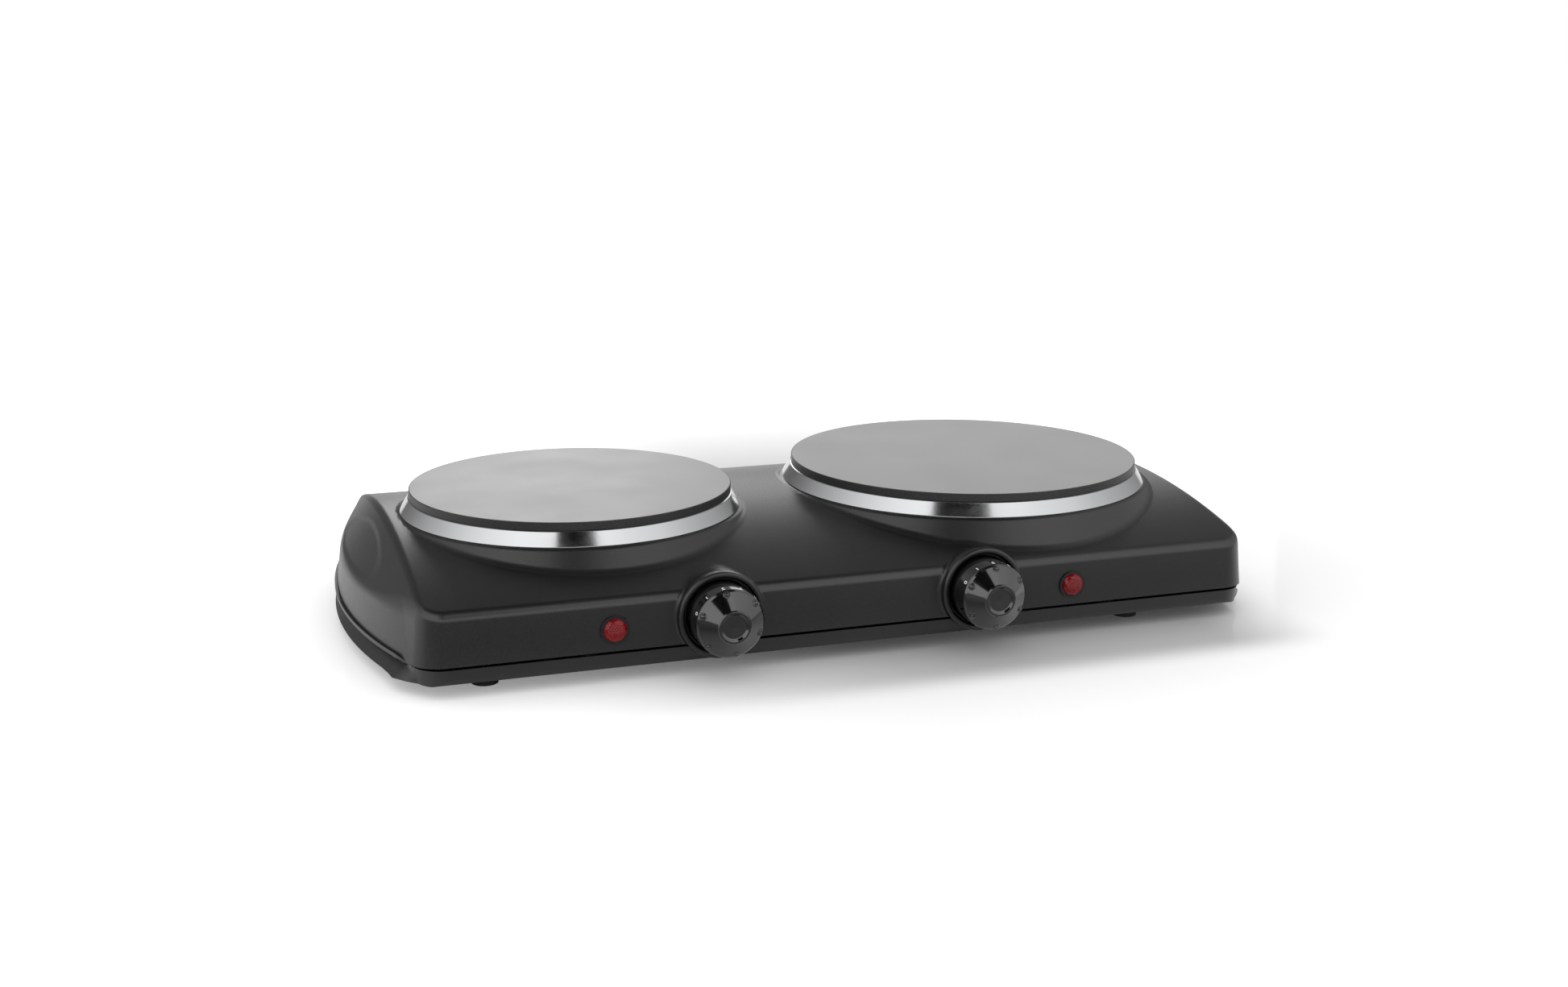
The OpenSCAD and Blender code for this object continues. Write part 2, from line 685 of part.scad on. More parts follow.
module earth_terminal() color("#a8a060") place() translate([earth_x, block_y, pan_floor_z]) {
    cylinder(d = earth_stud_d, h = earth_stud_l);
    for (z = [0, 2 * earth_nut_h])
        translate([0, 0, z]) cylinder(d = earth_nut_d, h = earth_nut_h, $fn = 6);
}

// A wire along a list of points, with its bends rounded
function unit(v) = v / norm(v);
function bent(p) = [
    p[0],
    for (i = [1 : len(p) - 2])
        let (a = unit(p[i - 1] - p[i]) * wire_bend, c = unit(p[i + 1] - p[i]) * wire_bend)
            each [p[i] + a, p[i] + (a + c) / 4, p[i] + c],
    p[len(p) - 1]
];
function heading(p, i) =
    unit((i > 0 ? unit(p[i] - p[i - 1]) : [0, 0, 0])
         + (i < len(p) - 1 ? unit(p[i + 1] - p[i]) : [0, 0, 0]));
function wire_ring(p, i) =
    let (t = heading(p, i), u = unit(cross(t, wire_side)), v = cross(t, u))
        [for (k = [0 : wire_facets - 1])
            p[i] + wire_d / 2 * (u * cos(k * 360 / wire_facets) + v * sin(k * 360 / wire_facets))];

module wire(points) {
    p = bent(points);
    n = len(p);
    m = wire_facets;
    polyhedron(
        points = [for (i = [0 : n - 1]) each wire_ring(p, i)],
        faces = [
            [for (k = [0 : m - 1]) k],
            [for (k = [m - 1 : -1 : 0]) (n - 1) * m + k],
            for (i = [0 : n - 2], k = [0 : m - 1])
                let (a = i * m + k, b = i * m + (k + 1) % m)
                    each [[a, a + m, b + m], [a, b + m, b]]
        ]);
}

// Ends that the wires reach: element pins, thermostat blades, lamp tabs, block holes
function pin_at(x, plate_d, side) = [
    x + coil_radius(plate_d) * cos(270 + side * coil_gap / 2),
    coil_radius(plate_d) * sin(270 + side * coil_gap / 2), pin_end_z];
function blade_at(x, side, up) = [
    x + side * blade_side, blade_end_y, knob_z + up * blade_up];
function lamp_tab_at(x, side) = [
    x + side * lamp_tab_x, front_y + lamp_body_l + lamp_tab_l, lamp_z];
function block_hole_at(i) = [
    block_x + i * block_w / 4, block_y - block_deep / 2, pan_floor_z + wire_hole_z];
function level(p, z) = [p[0], p[1], z];
function behind(p, d) = [p[0], p[1] + d, p[2]];

// The lamp's neutral wire ends against the side of the element's pin
function pin_side(pin) = pin + [0, -pin_d / 2 - wire_d / 2 - slip_gap, pin_l / 2];

module live_wires() color("#6b3a1e") place() for (side = [-1, 1]) {
    x = side < 0 ? left_knob_x : right_knob_x;
    start = block_hole_at(side / 2 - 1);
    feed = blade_at(x, -side, -1);
    wire([start, level(behind(start, -low_lead), low_run),
          level(behind(feed, low_lead), low_run), behind(feed, blade_lead), feed]);
    heat = blade_at(x, side, 1);
    pin = pin_at(side < 0 ? left_x : right_x, side < 0 ? left_plate_d : right_plate_d, -side);
    wire([heat, behind(heat, tab_lead), level(pin, high_run), pin]);
    lamp = lamp_tab_at(side < 0 ? left_lamp_x : right_lamp_x, -side);
    lit = blade_at(x, side, -1);
    wire([lit, behind(lit, blade_lead), behind(lamp, tab_lead), lamp]);
}

module neutral_wires() color("#2c4f86") place() for (side = [-1, 1]) {
    start = block_hole_at(side / 2 + 1);
    rise = level(behind(start, -tab_lead), high_run);
    pin = pin_at(side < 0 ? left_x : right_x, side < 0 ? left_plate_d : right_plate_d, side);
    wire([start, behind(start, -block_lead), rise, level(pin, high_run), pin]);
    lamp = lamp_tab_at(side < 0 ? left_lamp_x : right_lamp_x, side);
    wire([lamp, behind(lamp, tab_lead), level(pin_side(pin), high_run), pin_side(pin)]);
}

// From the pan's earth stud to the housing's back wall
module earth_wires() color("#6f9a3a") place() {
    stud = [earth_x, block_y, pan_floor_z + earth_stud_l];
    top = level(stud, stud[2] + block_lead);
    wire([stud, top, [top[0], back_y - wall - slip_gap, top[2]]]);
}

// ---------- Left and right sub-parts ----------

module left_hotplate() place() at_plate(left_x) hotplate(left_plate_d);
module right_hotplate() place() at_plate(right_x) hotplate(right_plate_d);
module left_trim_ring() place() at_plate(left_x) trim_ring(left_plate_d);
module right_trim_ring() place() at_plate(right_x) trim_ring(right_plate_d);
module left_heating_element() place() at_plate(left_x) heating_element(left_plate_d);
module right_heating_element() place() at_plate(right_x) heating_element(right_plate_d);
module left_heat_shield() place() at_plate(left_x) heat_shield(left_plate_d);
module right_heat_shield() place() at_plate(right_x) heat_shield(right_plate_d);
module left_clamp_strap() place() at_plate(left_x) clamp_strap(left_plate_d);
module right_clamp_strap() place() at_plate(right_x) clamp_strap(right_plate_d);
module left_clamp_stud() place() at_plate(left_x) clamp_stud();
module right_clamp_stud() place() at_plate(right_x) clamp_stud();
module left_clamp_nut() place() at_plate(left_x) clamp_nut();
module right_clamp_nut() place() at_plate(right_x) clamp_nut();
module left_thermal_cutout() place() at_plate(left_x) thermal_cutout();
module right_thermal_cutout() place() at_plate(right_x) thermal_cutout();
module left_thermostat() thermostat(left_knob_x);
module right_thermostat() thermostat(right_knob_x);
module left_thermostat_nut() thermostat_nut(left_knob_x);
module right_thermostat_nut() thermostat_nut(right_knob_x);
module left_thermostat_shaft() thermostat_shaft(left_knob_x);
module right_thermostat_shaft() thermostat_shaft(right_knob_x);
module left_knob() knob(left_knob_x);
module right_knob() knob(right_knob_x);
module left_lamp_body() lamp_body(left_lamp_x);
module right_lamp_body() lamp_body(right_lamp_x);
module left_lamp_lens() lamp_lens(left_lamp_x);
module right_lamp_lens() lamp_lens(right_lamp_x);

upper_housing();
base_pan();
rubber_feet();
foot_screws();
base_screws();
left_hotplate();
right_hotplate();
left_trim_ring();
right_trim_ring();
left_heating_element();
right_heating_element();
left_heat_shield();
right_heat_shield();
left_clamp_strap();
right_clamp_strap();
left_clamp_stud();
right_clamp_stud();
left_clamp_nut();
right_clamp_nut();
left_thermal_cutout();
right_thermal_cutout();
left_thermostat();
right_thermostat();
left_thermostat_nut();
right_thermostat_nut();
left_thermostat_shaft();
right_thermostat_shaft();
left_knob();
right_knob();
left_lamp_body();
right_lamp_body();
left_lamp_lens();
right_lamp_lens();
cord_gland();
terminal_block();
earth_terminal();
live_wires();
neutral_wires();
earth_wires();
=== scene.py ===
import json
import math

import bmesh
import bpy
import numpy as np
from mathutils import Matrix, Vector


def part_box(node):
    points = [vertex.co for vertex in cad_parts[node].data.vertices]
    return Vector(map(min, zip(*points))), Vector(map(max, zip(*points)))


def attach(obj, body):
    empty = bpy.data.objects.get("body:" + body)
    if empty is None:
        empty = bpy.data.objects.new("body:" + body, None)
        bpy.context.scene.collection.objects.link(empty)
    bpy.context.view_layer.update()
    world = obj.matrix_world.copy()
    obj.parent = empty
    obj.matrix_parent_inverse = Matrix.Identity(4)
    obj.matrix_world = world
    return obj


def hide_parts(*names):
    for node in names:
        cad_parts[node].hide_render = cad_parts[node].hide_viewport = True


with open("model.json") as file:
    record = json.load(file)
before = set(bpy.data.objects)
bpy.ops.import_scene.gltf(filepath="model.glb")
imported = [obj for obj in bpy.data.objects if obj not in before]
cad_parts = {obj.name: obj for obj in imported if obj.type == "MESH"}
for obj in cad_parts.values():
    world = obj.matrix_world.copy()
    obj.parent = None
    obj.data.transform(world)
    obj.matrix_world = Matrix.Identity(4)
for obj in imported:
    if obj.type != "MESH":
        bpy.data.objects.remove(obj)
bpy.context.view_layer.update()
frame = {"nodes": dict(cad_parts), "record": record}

# A double electric hot plate: arched steel housing on a base pan, two cast-iron
# plates in stainless rings, two knobs and two pilot lamps. Shapes are worked out in
# millimetres and turned into metres as each mesh is made.
MM = 0.001
TURN = 2 * math.pi


def box_mm(node):
    """A node's two corners, in millimetres."""
    low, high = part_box(node)
    return np.array(low) / MM, np.array(high) / MM


# ---------- Places, from the frame ----------

SIDES = ("left", "right")
plate_low, plate_high, plate_x, plate_r, knob_at, lamp_at = {}, {}, {}, {}, {}, {}
for side in SIDES:
    low, high = box_mm(side + "_hotplate")
    plate_low[side], plate_high[side] = low, high
    plate_x[side] = (low[0] + high[0]) / 2
    plate_r[side] = (high[0] - low[0]) / 2
    low, high = box_mm(side + "_knob")
    knob_at[side] = np.array([(low[0] + high[0]) / 2, high[1], (low[2] + high[2]) / 2])
    low, high = box_mm(side + "_lamp_lens")
    lamp_at[side] = np.array([(low[0] + high[0]) / 2, low[1], (low[2] + high[2]) / 2])
knob_low, knob_high = box_mm("left_knob")
ring_low, ring_high = box_mm("left_trim_ring")
pan_low, pan_high = box_mm("base_pan")
shell_low, shell_high = box_mm("upper_housing")
lens_low, lens_high = box_mm("left_lamp_lens")

mid_y = (plate_low["left"][1] + plate_high["left"][1]) / 2
plate_top_z = plate_high["left"][2]
seat_z = ring_low[2]
ring_top_z = ring_high[2]
pan_z = pan_low[2]
half_depth = (pan_high[1] - pan_low[1]) / 2
half_length = (shell_high[0] - shell_low[0]) / 2

# ---------- Housing sizes ----------

WALL = 1.2                # steel sheet
SEAT_RISE = 0.4           # plate seats above the crest
CREST_Z = seat_z - SEAT_RISE
LIP_RISE = 2.0            # the pan's end lips above the housing's lower edge
EDGE_Z = pan_high[2] - LIP_RISE
PAN_GAP = 1.2             # dark gap under the fascia
PAN_TOP_Z = EDGE_Z - PAN_GAP
ARCH_R = 440.0            # arched top, seen from the end
BOW_R = 300.0             # bowed end walls, seen from above
TOP_HALF = 201.0          # half of the arched top's length
END_SLOPE = math.radians(46)
CORNER_R = 14.0
SHOULDER_R = 3.5          # rounding between the top and the front and back walls
END_EDGE_R = 1.4          # rounding between the sloping ends and the bowed walls
END_EDGE_Y = (55, 100)    # it grows into the shoulder's rounding between these
CREASE_R = 1.7            # rounding between the top and the sloping ends
LEAN = 0.13               # the bowed ends lean inwards by this much a millimetre
DISH = (6.0, 16.5)        # middle of the shallow oval dish in an end: depthwise, down the slope
DISH_HALF = (49.0, 9.5)
DISH_DEPTH = 0.3
DISH_RIM = (1.15, 0.3)    # its border starts this far out, as a share, and is this wide
RISER_OUT = 1.0           # seat outside the trim ring
RISER_SLOPE = math.radians(53)
RISER_EDGE_R = 1.0
RISER_FOOT_R = 1.6        # fillet at the riser's foot, smaller where the riser is low
RISER_FOOT_Z = 36.0       # its cone ends inside the housing at this height
CUP_R = 20.0              # cup round a knob
CUP_OUT = 4.0             # how far it stands out of the fascia
CUP_WALL = 2.6
CUP_TAIL = 19.0           # its taper back into the top
CUP_ROOT_R = 14.0
CUP_FILLET_R = (1.6, 4.6)    # fillet at its foot: at the fascia, and where its tail ends
LAMP_HOLE_R = 6.3
KNOB_HOLE_R = 18.6
BUSH_HOLE_R = 5.2         # for the thermostat's bush, in the floor of a cup
PLATE_LEDGE = 2.5         # the seat reaches this far in under a plate's rim
SKIN_STEP = 1.0
SKIN_KEPT = 0.27    # share of the skin's faces kept where it is flat
GRID_OFF = 0.37           # the grid starts off the round numbers, clear of the flat walls

BOW_X = half_length - BOW_R
CORNER_Y = half_depth - CORNER_R
CORNER_X = BOW_X + math.sqrt((BOW_R - CORNER_R) ** 2 - CORNER_Y ** 2)
ARCH_Z = CREST_Z - ARCH_R
FLARE_R = {side: plate_r[side] + (ring_high[0] - ring_low[0]) / 2 - plate_r["left"] + RISER_OUT
           for side in SIDES}

# ---------- Solid forms, as signed distances ----------


def round_and(a, b, r):
    """Where two forms overlap, with the edge between them rounded."""
    return np.minimum(np.maximum(a, b), -r) + np.hypot(np.maximum(a + r, 0), np.maximum(b + r, 0))


def round_or(a, b, r):
    """Two forms as one, with a fillet between them."""
    return np.maximum(np.minimum(a, b), r) - np.hypot(np.maximum(r - a, 0), np.maximum(r - b, 0))


def smooth(t):
    """0 to 1, easing in and out."""
    t = np.clip(t, 0, 1)
    return t * t * (3 - 2 * t)


def plan_form(x, y):
    """Seen from above: straight front and back, bowed ends, rounded corners."""
    x, y = np.abs(x), np.abs(y)
    edge = np.maximum(y - half_depth, np.hypot(x - BOW_X, y) - BOW_R)
    in_corner = (x > CORNER_X) & (y * (CORNER_X - BOW_X) > CORNER_Y * (x - BOW_X))
    return np.where(in_corner, np.hypot(x - CORNER_X, y - CORNER_Y) - CORNER_R, edge)


def riser_form(x, y, z, side):
    """Cone that lifts the arched sheet to a flat plate seat."""
    out = np.hypot(x - plate_x[side], y) - FLARE_R[side]
    up = z - seat_z
    side_face = out * math.sin(RISER_SLOPE) + up * math.cos(RISER_SLOPE)
    cone = round_and(side_face, up, RISER_EDGE_R)
    return np.maximum(cone, RISER_FOOT_Z - z)


def cup_form(x, y, z, side):
    """Cup round a knob, tapering back from the fascia into the top."""
    behind = y + half_depth
    taper = (CUP_R - CUP_ROOT_R) / CUP_TAIL
    out = np.hypot(x - knob_at[side][0], z - knob_at[side][2])
    wall = (out - CUP_R + taper * np.maximum(behind, 0)) / math.hypot(1, taper)
    return np.maximum(wall, -behind - CUP_OUT / 2)


def housing_form(x, y, z):
    """The whole pressed housing, below its own lower edge too."""
    away = np.abs(x)
    arch = np.hypot(y, z - ARCH_Z) - ARCH_R
    slope = (arch + (away - TOP_HALF) * math.tan(END_SLOPE)) * math.cos(END_SLOPE)
    down = (away - TOP_HALF) / math.cos(END_SLOPE)
    dish = np.hypot((y - DISH[0]) / DISH_HALF[0], (down - DISH[1]) / DISH_HALF[1])
    slope += DISH_DEPTH * smooth((DISH_RIM[0] - dish) / DISH_RIM[1])
    leaning = LEAN * (z - EDGE_Z) * np.clip((away - CORNER_X) / CORNER_R, 0, 1)
    edge = END_EDGE_R + (SHOULDER_R - END_EDGE_R) * smooth(
        (np.abs(y) - END_EDGE_Y[0]) / (END_EDGE_Y[1] - END_EDGE_Y[0]))
    form = round_and(round_and(arch, slope, CREASE_R), plan_form(x, y) + leaning, edge)
    rise = seat_z - ARCH_Z - np.sqrt(ARCH_R ** 2 - y ** 2)
    for side in SIDES:
        fillet = np.clip(0.6 * rise, 0.1, RISER_FOOT_R)
        form = round_or(form, riser_form(x, y, z, side), fillet)
    for side in SIDES:
        tail = np.clip((y + half_depth) / CUP_TAIL, 0, 1)
        fillet = CUP_FILLET_R[0] + (CUP_FILLET_R[1] - CUP_FILLET_R[0]) * tail
        form = round_or(form, cup_form(x, y, z, side), fillet)
    return form


# ---------- Meshes ----------


def slope_of(form, points):
    """Value and gradient of a form at each point."""
    reach = np.eye(3) * 0.02
    gradient = [form(*(points + e).T) - form(*(points - e).T) for e in reach]
    return form(*points.T), np.stack(gradient, 1) / 0.04


def settled(form, points, rounds=4):
    """Points moved on to the form's surface, and the surface's normals there."""
    for _ in range(rounds):
        value, gradient = slope_of(form, points)
        points = points - gradient * (value / np.maximum((gradient ** 2).sum(1), 0.1))[:, None]
    gradient = slope_of(form, points)[1]
    return points, gradient / np.linalg.norm(gradient, axis=1)[:, None]


def surface_net(form, low, high, step):
    """Quads over the surface of a form: one vertex in each cell that the surface crosses."""
    axes = [np.arange(a, b + step, step) for a, b in zip(low, high)]
    y, z = np.meshgrid(axes[1], axes[2], indexing="ij")
    value = np.stack([form(x, y, z) for x in axes[0]])
    cells = np.array(value.shape) - 1
    total = np.zeros((cells.prod(), 3))
    count = np.zeros(cells.prod())
    quads = []
    for a in range(3):
        b, c = (a + 1) % 3, (a + 2) % 3
        here = [slice(None)] * 3
        there = [slice(None)] * 3
        here[a] = slice(0, -1)
        there[a] = slice(1, None)
        edges = np.argwhere((value[tuple(here)] < 0) != (value[tuple(there)] < 0))
        inner = (edges[:, [b, c]] > 0) & (edges[:, [b, c]] < cells[[b, c]])
        edges = edges[inner.all(1)]
        before = value[tuple(edges.T)]
        after = value[tuple((edges + np.eye(3, dtype=int)[a]).T)]
        points = np.stack([axes[k][edges[:, k]] for k in range(3)], 1)
        points[:, a] += step * before / (before - after)
        around = []
        for back_b, back_c in ((1, 1), (0, 1), (0, 0), (1, 0)):
            cell = edges.copy()
            cell[:, b] -= back_b
            cell[:, c] -= back_c
            around.append(np.ravel_multi_index(tuple(cell.T), cells))
            count += np.bincount(around[-1], minlength=len(count))
            for k in range(3):
                total[:, k] += np.bincount(around[-1], points[:, k], minlength=len(count))
        around = np.stack(around, 1)
        around[before > 0] = around[before > 0][:, ::-1]
        quads.append(around)
    used = np.flatnonzero(count)
    index = np.full(len(count), -1)
    index[used] = np.arange(len(used))
    return total[used] / count[used, None], index[np.concatenate(quads)]


def raw_mesh(name, points, faces):
    mesh = bpy.data.meshes.new(name)
    mesh.from_pydata(np.asarray(points, float).reshape(-1, 3) * MM, [],
                     [list(map(int, f)) for f in faces])
    mesh.update()
    return mesh


def link(name, mesh):
    piece = bpy.data.objects.new(name, mesh)
    bpy.context.scene.collection.objects.link(piece)
    return piece


def plain(piece):
    """The piece with its modifiers worked into a plain mesh."""
    graph = bpy.context.evaluated_depsgraph_get()
    made = bpy.data.meshes.new_from_object(piece.evaluated_get(graph))
    piece.modifiers.clear()
    old = piece.data
    piece.data = made
    bpy.data.meshes.remove(old)
    return piece


def finished(name, points, faces, normals, materials, body, slot, nodes=(), kinds=None):
    """One finished piece. normals gives each face's corners, or one normal for each point."""
    if len(normals) != len(points):
        points, faces, normals, kinds = welded(points, faces, normals, kinds)
    mesh = raw_mesh(name, points, faces)
    mesh.polygons.foreach_set("use_smooth", [True] * len(mesh.polygons))
    for material in materials:
        mesh.materials.append(material)
    if kinds is not None:
        mesh.polygons.foreach_set("material_index", kinds)
    if len(normals) == len(mesh.vertices):
        mesh.normals_split_custom_set_from_vertices(normals)
    else:
        mesh.normals_split_custom_set(normals)
    piece = link(name, mesh)
    return settle_in(piece, body, nodes)


def welded(points, faces, normals, kinds):
    """The shape with its coincident points made one, without the faces that this closes up."""
    points, index = np.unique(np.round(points, 4), axis=0, return_inverse=True)
    index = index.ravel().tolist()
    open_faces, open_normals, open_kinds = [], [], []
    start = 0
    for face, kind in zip(faces, kinds or [0] * len(faces)):
        corners = {index[i]: start + k for k, i in enumerate(face)}
        start += len(face)
        if len(corners) > 2:
            open_faces.append(list(corners))
            open_normals.extend(normals[k] for k in corners.values())
            open_kinds.append(kind)
    return points, open_faces, open_normals, open_kinds


def settle_in(piece, body, nodes=()):
    """Gives a piece its body, and hides the solids that it stands in for."""
    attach(piece, body)
    if nodes:
        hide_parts(*nodes)
    return piece


def rounded_profile(corners, steps=6, closed=False):
    """Outline (r, z) with its corners rounded. Returns points, and each stretch's two normals."""
    spots = [np.array(c[:2], float) for c in corners]
    radii = [c[2] if len(c) > 2 else 0 for c in corners]
    points, ends = [], []
    count = len(spots)
    for i, (spot, r) in enumerate(zip(spots, radii)):
        if r == 0 or (not closed and i in (0, count - 1)):
            points.append(spot)
            ends.append(None)
            continue
        back = spots[i - 1] - spot
        on = spots[(i + 1) % count] - spot
        back, on = back / np.linalg.norm(back), on / np.linalg.norm(on)
        half = math.acos(np.clip(back @ on, -1, 1)) / 2
        middle = spot + (back + on) / np.linalg.norm(back + on) * r / math.sin(half)
        start = spot + back * r / math.tan(half) - middle
        end = spot + on * r / math.tan(half) - middle
        for t in np.linspace(0, 1, steps + 1):
            swing = start * (1 - t) + end * t
            swing = swing / np.linalg.norm(swing)
            bulge = 1 if start @ (spot - middle) > 0 else -1
            points.append(middle + swing * r * bulge)
            ends.append(swing * bulge * (1 if is_outer(back, on) else -1))
    if closed:
        points.append(points[0])
        ends.append(ends[0])
    normals = []
    for i in range(len(points) - 1):
        along = points[i + 1] - points[i]
        flat = np.array([along[1], -along[0]]) / max(np.linalg.norm(along), 1e-9)
        normals.append([flat if e is None or abs(e @ flat) < 0.9 else e
                        for e in (ends[i], ends[i + 1])])
    return np.array(points), np.array(normals)


def is_outer(back, on):
    """True where an outline that runs anticlockwise bulges outwards."""
    return back[0] * on[1] - back[1] * on[0] < 0


def turned(corners, centre, facets=128, front=False, steps=6, closed=False):
    """A turned shape: points, faces and corner normals. front points its axis at the user."""
    outline, stretch = rounded_profile(corners, steps, closed)
    angle = np.arange(facets) * TURN / facets
    spin = np.stack([np.cos(angle), np.sin(angle)], 1)
    points, rings = [], []
    rows = len(outline) - 1 if closed else len(outline)
    for r, z in outline[:rows]:
        if r < 1e-6:
            rings.append([len(points)] * facets)
            points.append([0, 0, z])
        else:
            rings.append(list(range(len(points), len(points) + facets)))
            points.extend([[r * c, r * s, z] for c, s in spin])
    faces, normals = [], []
    for k in range(len(outline) - 1):
        low, high = rings[k], rings[(k + 1) % len(rings)]
        for i in range(facets):
            j = (i + 1) % facets
            corner = [(low[i], 0, i), (low[j], 0, j), (high[j], 1, j), (high[i], 1, i)]
            if low[i] == low[j]:
                corner.pop(1)
            elif high[i] == high[j]:
                corner.pop(2)
            faces.append([c[0] for c in corner])
            for _, end, at in corner:
                n = stretch[k][end]
                normals.append([n[0] * spin[at][0], n[0] * spin[at][1], n[1]])
    points, normals = np.array(points, float), np.array(normals, float)
    if front:
        points, normals = to_front(points), to_front(normals)
    return points + np.asarray(centre), faces, normals


def to_front(v):
    """Turns local +Z to point at the user, along -Y."""
    return np.stack([v[:, 0], -v[:, 2], v[:, 1]], 1)


def merged(*parts):
    """Several shapes as one: points, faces, corner normals and which shape each face is of."""
    points, faces, normals, kinds = [], [], [], []
    start = 0
    for kind, (p, f, n) in enumerate(parts):
        points.append(p)
        faces.extend([[i + start for i in face] for face in f])
        normals.append(n)
        kinds.extend([kind] * len(f))
        start += len(p)
    return np.concatenate(points), faces, np.concatenate(normals), kinds


# ---------- Materials ----------


def colour(code):
    """sRGB hex to linear RGBA."""
    parts = [int(code[i:i + 2], 16) / 255 for i in (1, 3, 5)]
    return [p / 12.92 if p <= 0.04045 else ((p + 0.055) / 1.055) ** 2.4 for p in parts] + [1]


def add(tree, kind, links=None, stops=(), **settings):
    """Adds a node. links holds socket values, nodes whose first output feeds a socket, or
    other outputs, and stops the places and colours along a colour ramp."""
    made = tree.nodes.new(kind)
    for key, value in settings.items():
        setattr(made, key, value)
    for key, value in (links or {}).items():
        if isinstance(value, bpy.types.Node):
            value = value.outputs[0]
        if isinstance(value, bpy.types.NodeSocket):
            tree.links.new(value, made.inputs[key])
        else:
            made.inputs[key].default_value = value
    for k, (position, value) in enumerate(stops):
        if k > 1:
            made.color_ramp.elements.new(position)
        made.color_ramp.elements[k].position = position
        made.color_ramp.elements[k].color = value
    return made


def new_material(name):
    """An empty material, its node tree, and the places on the object in metres."""
    material = bpy.data.materials.new(name)
    material.use_nodes = True
    tree = material.node_tree
    tree.nodes.clear()
    place = add(tree, "ShaderNodeTexCoord").outputs["Object"]
    return material, tree, place


def around_base(base, low, high):
    """Stops for a tint that wanders about a base colour, between these shares of it."""
    return ((0.3, [c * low for c in base[:3]] + [1]),
            (0.7, [min(c * high, 1) for c in base[:3]] + [1]))


def grey(value):
    return [value, value, value, 1]


def powder_coat(name, code):
    """Fine-textured black powder coat on pressed steel: baked grains under half a millimetre,
    drawn at 0.7 mm so that they show, with a soft sheen."""
    material, tree, place = new_material(name)
    grain = add(tree, "ShaderNodeTexNoise", {"Vector": place, "Scale": 1 / 0.0007, "Detail": 2.0,
                                             "Roughness": 0.55})
    cloud = add(tree, "ShaderNodeTexNoise", {"Vector": place, "Scale": 1 / 0.03, "Detail": 2.0})
    tint = add(tree, "ShaderNodeValToRGB", {"Fac": cloud}, around_base(colour(code), 0.9, 1.1))
    rough = add(tree, "ShaderNodeValToRGB", {"Fac": grain}, ((0.3, grey(0.28)), (0.7, grey(0.36))))
    bump = add(tree, "ShaderNodeBump", {"Height": grain, "Strength": 0.55, "Distance": 0.00006})
    coat = add(tree, "ShaderNodeBsdfPrincipled", {"Base Color": tint, "Roughness": rough,
                                                  "Normal": bump, "IOR": 1.56})
    add(tree, "ShaderNodeOutputMaterial", {"Surface": coat})
    return material


def turned_iron():
    """Cast-iron plate face, turned and sprayed with a satin grey heat-proof coat: a fine
    sprayed grain, drawn at 0.9 mm so that it shows, and soft clouds in the coat."""
    material, tree, place = new_material("cast_iron_turned_grey_coat")
    cloud = add(tree, "ShaderNodeTexNoise", {"Vector": place, "Scale": 1 / 0.04, "Detail": 3.0})
    grain = add(tree, "ShaderNodeTexNoise", {"Vector": place, "Scale": 1 / 0.0009, "Detail": 2.0})
    tint = add(tree, "ShaderNodeValToRGB", {"Fac": cloud},
               ((0.3, colour("#8f8f8f")), (0.7, colour("#959595"))))
    rough = add(tree, "ShaderNodeValToRGB", {"Fac": cloud}, ((0.3, grey(0.38)), (0.7, grey(0.44))))
    bump = add(tree, "ShaderNodeBump", {"Height": grain, "Strength": 0.35, "Distance": 0.00004})
    coat = add(tree, "ShaderNodeBsdfPrincipled", {"Base Color": tint, "Metallic": 0.35,
                                                  "Roughness": rough, "Normal": bump})
    add(tree, "ShaderNodeOutputMaterial", {"Surface": coat})
    return material


def blackened_iron():
    """The plate's rim: dark heat-proof coat on the as-turned edge."""
    material, tree, place = new_material("cast_iron_dark_rim")
    grain = add(tree, "ShaderNodeTexNoise", {"Vector": place, "Scale": 1 / 0.001, "Detail": 2.0})
    tint = add(tree, "ShaderNodeValToRGB", {"Fac": grain},
               ((0.3, colour("#1d1d1e")), (0.7, colour("#29292a"))))
    bump = add(tree, "ShaderNodeBump", {"Height": grain, "Strength": 0.4, "Distance": 0.00005})
    coat = add(tree, "ShaderNodeBsdfPrincipled", {"Base Color": tint, "Roughness": 0.42,
                                                  "Normal": bump})
    add(tree, "ShaderNodeOutputMaterial", {"Surface": coat})
    return material


def spun_stainless():
    """Spun stainless steel, polished, with fine drawing lines round the ring about 0.35 mm
    apart, drawn coarser than real ones so that they show, and a slightly uneven polish."""
    material, tree, place = new_material("stainless_steel_spun")
    parts = add(tree, "ShaderNodeSeparateXYZ", {"Vector": place})
    lines = add(tree, "ShaderNodeTexNoise", {"W": parts.outputs["Z"], "Scale": 1 / 0.00035,
                                             "Detail": 3.0}, noise_dimensions="1D")
    smear = add(tree, "ShaderNodeTexNoise", {"Vector": place, "Scale": 1 / 0.012, "Detail": 4.0,
                                             "Roughness": 0.6})
    rough = add(tree, "ShaderNodeValToRGB", {"Fac": smear}, ((0.3, grey(0.1)), (0.7, grey(0.17))))
    bump = add(tree, "ShaderNodeBump", {"Height": lines, "Strength": 0.25, "Distance": 0.00002})
    steel = add(tree, "ShaderNodeBsdfPrincipled", {"Base Color": colour("#b9babb"), "Metallic": 1.0,
                                                   "Roughness": rough, "Normal": bump})
    add(tree, "ShaderNodeOutputMaterial", {"Surface": steel})
    return material


